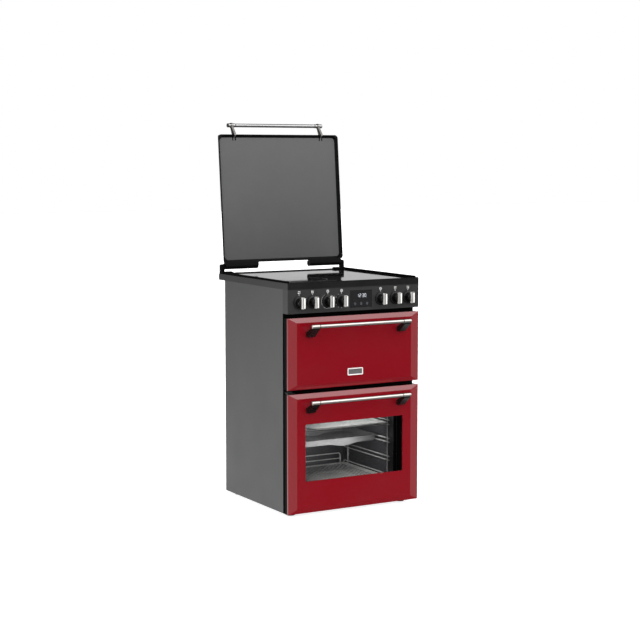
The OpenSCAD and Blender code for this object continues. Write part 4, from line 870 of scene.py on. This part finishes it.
def light_room(scene):
    """A world that is white to the camera and a studio to the cooker's surfaces."""
    world = bpy.data.worlds.new("white_studio")
    scene.world = world
    world.use_nodes = True
    tree = world.node_tree
    tree.nodes.clear()
    where = add(tree, "ShaderNodeTexCoord").outputs["Generated"]
    x, y, z = add(tree, "ShaderNodeSeparateXYZ", {0: where}).outputs
    flag = add(tree, "ShaderNodeVectorMath", {0: where}, {1: FLAG_AIM}, operation="DOT_PRODUCT")
    # What each part of the room follows, where it starts and ends, and its level at both
    parts = {
        "front": (y, 0.15, -0.45, 0.0, 1.0),
        # A long softbox before the cooker, which sets in 4 degrees above the horizon and is full at 20
        "box_foot": (z, 0.07, 0.34, 0.0, SOFTBOX_STRENGTH),
        "box_top": (z, 0.98, 0.75, 0.3, 1.0),
        # Under it the dim front of the room, with a black flag where the flat door faces would mirror it
        "below_box": (z, -0.5, -0.3, 0.1, 0.7),
        "beside_flag": (flag.outputs["Value"], 0.990, 0.972, 0.06, 1.0),
        # Behind the cooker a pale wall at the right, and at the left a sweep that brightens to the floor
        "left": (x, 0.1, -0.3, 0.0, 1.0),
        "sweep": (z, 0.0, -0.22, 0.2, 1.6),
        "wall_top": (z, 0.5, 0.2, 0.12, 1.0),
    }
    level = {}
    for name, (value, start, end, low, high) in parts.items():
        level[name] = add(tree, "ShaderNodeMapRange", {"Value": value},
                          {"From Min": start, "From Max": end, "To Min": low, "To Max": high},
                          interpolation_type="SMOOTHSTEP").outputs[0]
    box = add(tree, "ShaderNodeMath", {0: level["box_foot"], 1: level["box_top"]}, operation="MULTIPLY")
    box = add(tree, "ShaderNodeMath", {0: box.outputs[0], 1: level["front"]}, operation="MULTIPLY")
    below = add(tree, "ShaderNodeMath", {0: level["below_box"], 1: level["beside_flag"]},
                operation="MULTIPLY")
    back = add(tree, "ShaderNodeMix", {0: level["left"], 3: level["sweep"]}, {2: WALL_STRENGTH})
    back = add(tree, "ShaderNodeMath", {0: back.outputs[0], 1: level["wall_top"]}, operation="MULTIPLY")
    walls = add(tree, "ShaderNodeMix", {0: level["front"], 2: back.outputs[0], 3: below.outputs[0]})
    total = add(tree, "ShaderNodeMath", {0: box.outputs[0], 1: walls.outputs[0]}, operation="ADD")
    ray = add(tree, "ShaderNodeLightPath")
    seen = add(tree, "ShaderNodeMix", {0: ray.outputs["Is Camera Ray"], 2: total.outputs[0]}, {3: 1.0})
    sky = add(tree, "ShaderNodeBackground", {"Strength": seen.outputs[0]}, {"Color": (1, 1, 1, 1)})
    add(tree, "ShaderNodeOutputWorld", {"Surface": sky.outputs[0]})


def hang_lamps(scene):
    """A fill low at the left, the oven's own light and the light that falls in through its window."""
    # Name, place, aim, size in metres and power in watts
    fill = ("low_left_fill", (-2.6, 1.6, 0.5), (-0.3, 0.1, 0.3), 1.4, 16)
    roof = ("oven_roof_light", (0, FRONT + 0.2, 0.424), (0, FRONT + 0.24, -0.7), 0.26, 1.8)
    window = ("oven_front_light", (0, FRONT + 0.075, 0.26), (0, FRONT + 0.5, 0.24), 0.3, 4.5)
    for name, place, aim, size, power in (fill, roof, window):
        light = bpy.data.lights.new(name, "AREA")
        light.size, light.energy = size, power
        lamp = bpy.data.objects.new(name, light)
        lamp.location = place
        lamp.rotation_euler = (Vector(aim) - Vector(place)).to_track_quat("-Z", "Y").to_euler()
        scene.collection.objects.link(lamp)


class COOKER_OT_stage(bpy.types.Operator):
    """Pale floor, soft white studio and the camera at the photograph's angle"""
    bl_idname = "cooker.stage"
    bl_label = "Studio"

    def execute(self, context):
        place_camera(context.scene)
        lay_floor(context.scene)
        light_room(context.scene)
        hang_lamps(context.scene)
        context.scene.view_settings.view_transform = "Standard"
        return {"FINISHED"}


class COOKER_PT_panel(bpy.types.Panel):
    """Lists the cooker's settings and its steps"""
    bl_idname = "COOKER_PT_panel"
    bl_label = "Cooker"
    bl_space_type = "VIEW_3D"
    bl_region_type = "UI"
    bl_category = "Cooker"

    def draw(self, context):
        for group in (context.scene.cooker_colours, context.scene.cooker_sizes):
            for name in group.__annotations__:
                self.layout.prop(group, name)
        for step in STEPS:
            self.layout.operator(step.bl_idname)


STEPS = (COOKER_OT_stage, COOKER_OT_finishes, COOKER_OT_knobs, COOKER_OT_bars, COOKER_OT_plate,
         COOKER_OT_marks, COOKER_OT_clock, COOKER_OT_hob_print, COOKER_OT_strips, COOKER_OT_lid_trim,
         COOKER_OT_screws)
CLASSES = (CookerColours, CookerSizes) + STEPS + (COOKER_PT_panel,)


def register():
    for one in CLASSES:
        bpy.utils.register_class(one)
    bpy.types.Scene.cooker_colours = bpy.props.PointerProperty(type=CookerColours)
    bpy.types.Scene.cooker_sizes = bpy.props.PointerProperty(type=CookerSizes)


def unregister():
    del bpy.types.Scene.cooker_sizes
    del bpy.types.Scene.cooker_colours
    for one in reversed(CLASSES):
        bpy.utils.unregister_class(one)


def main():
    register()
    bpy.ops.cooker.stage()
    bpy.ops.cooker.finishes()
    bpy.ops.cooker.knobs()
    bpy.ops.cooker.bars()
    bpy.ops.cooker.plate()
    bpy.ops.cooker.marks()
    bpy.ops.cooker.clock()
    bpy.ops.cooker.hob_print()
    bpy.ops.cooker.strips()
    bpy.ops.cooker.lid_trim()
    bpy.ops.cooker.screws()


if __name__ == "__main__":
    main()
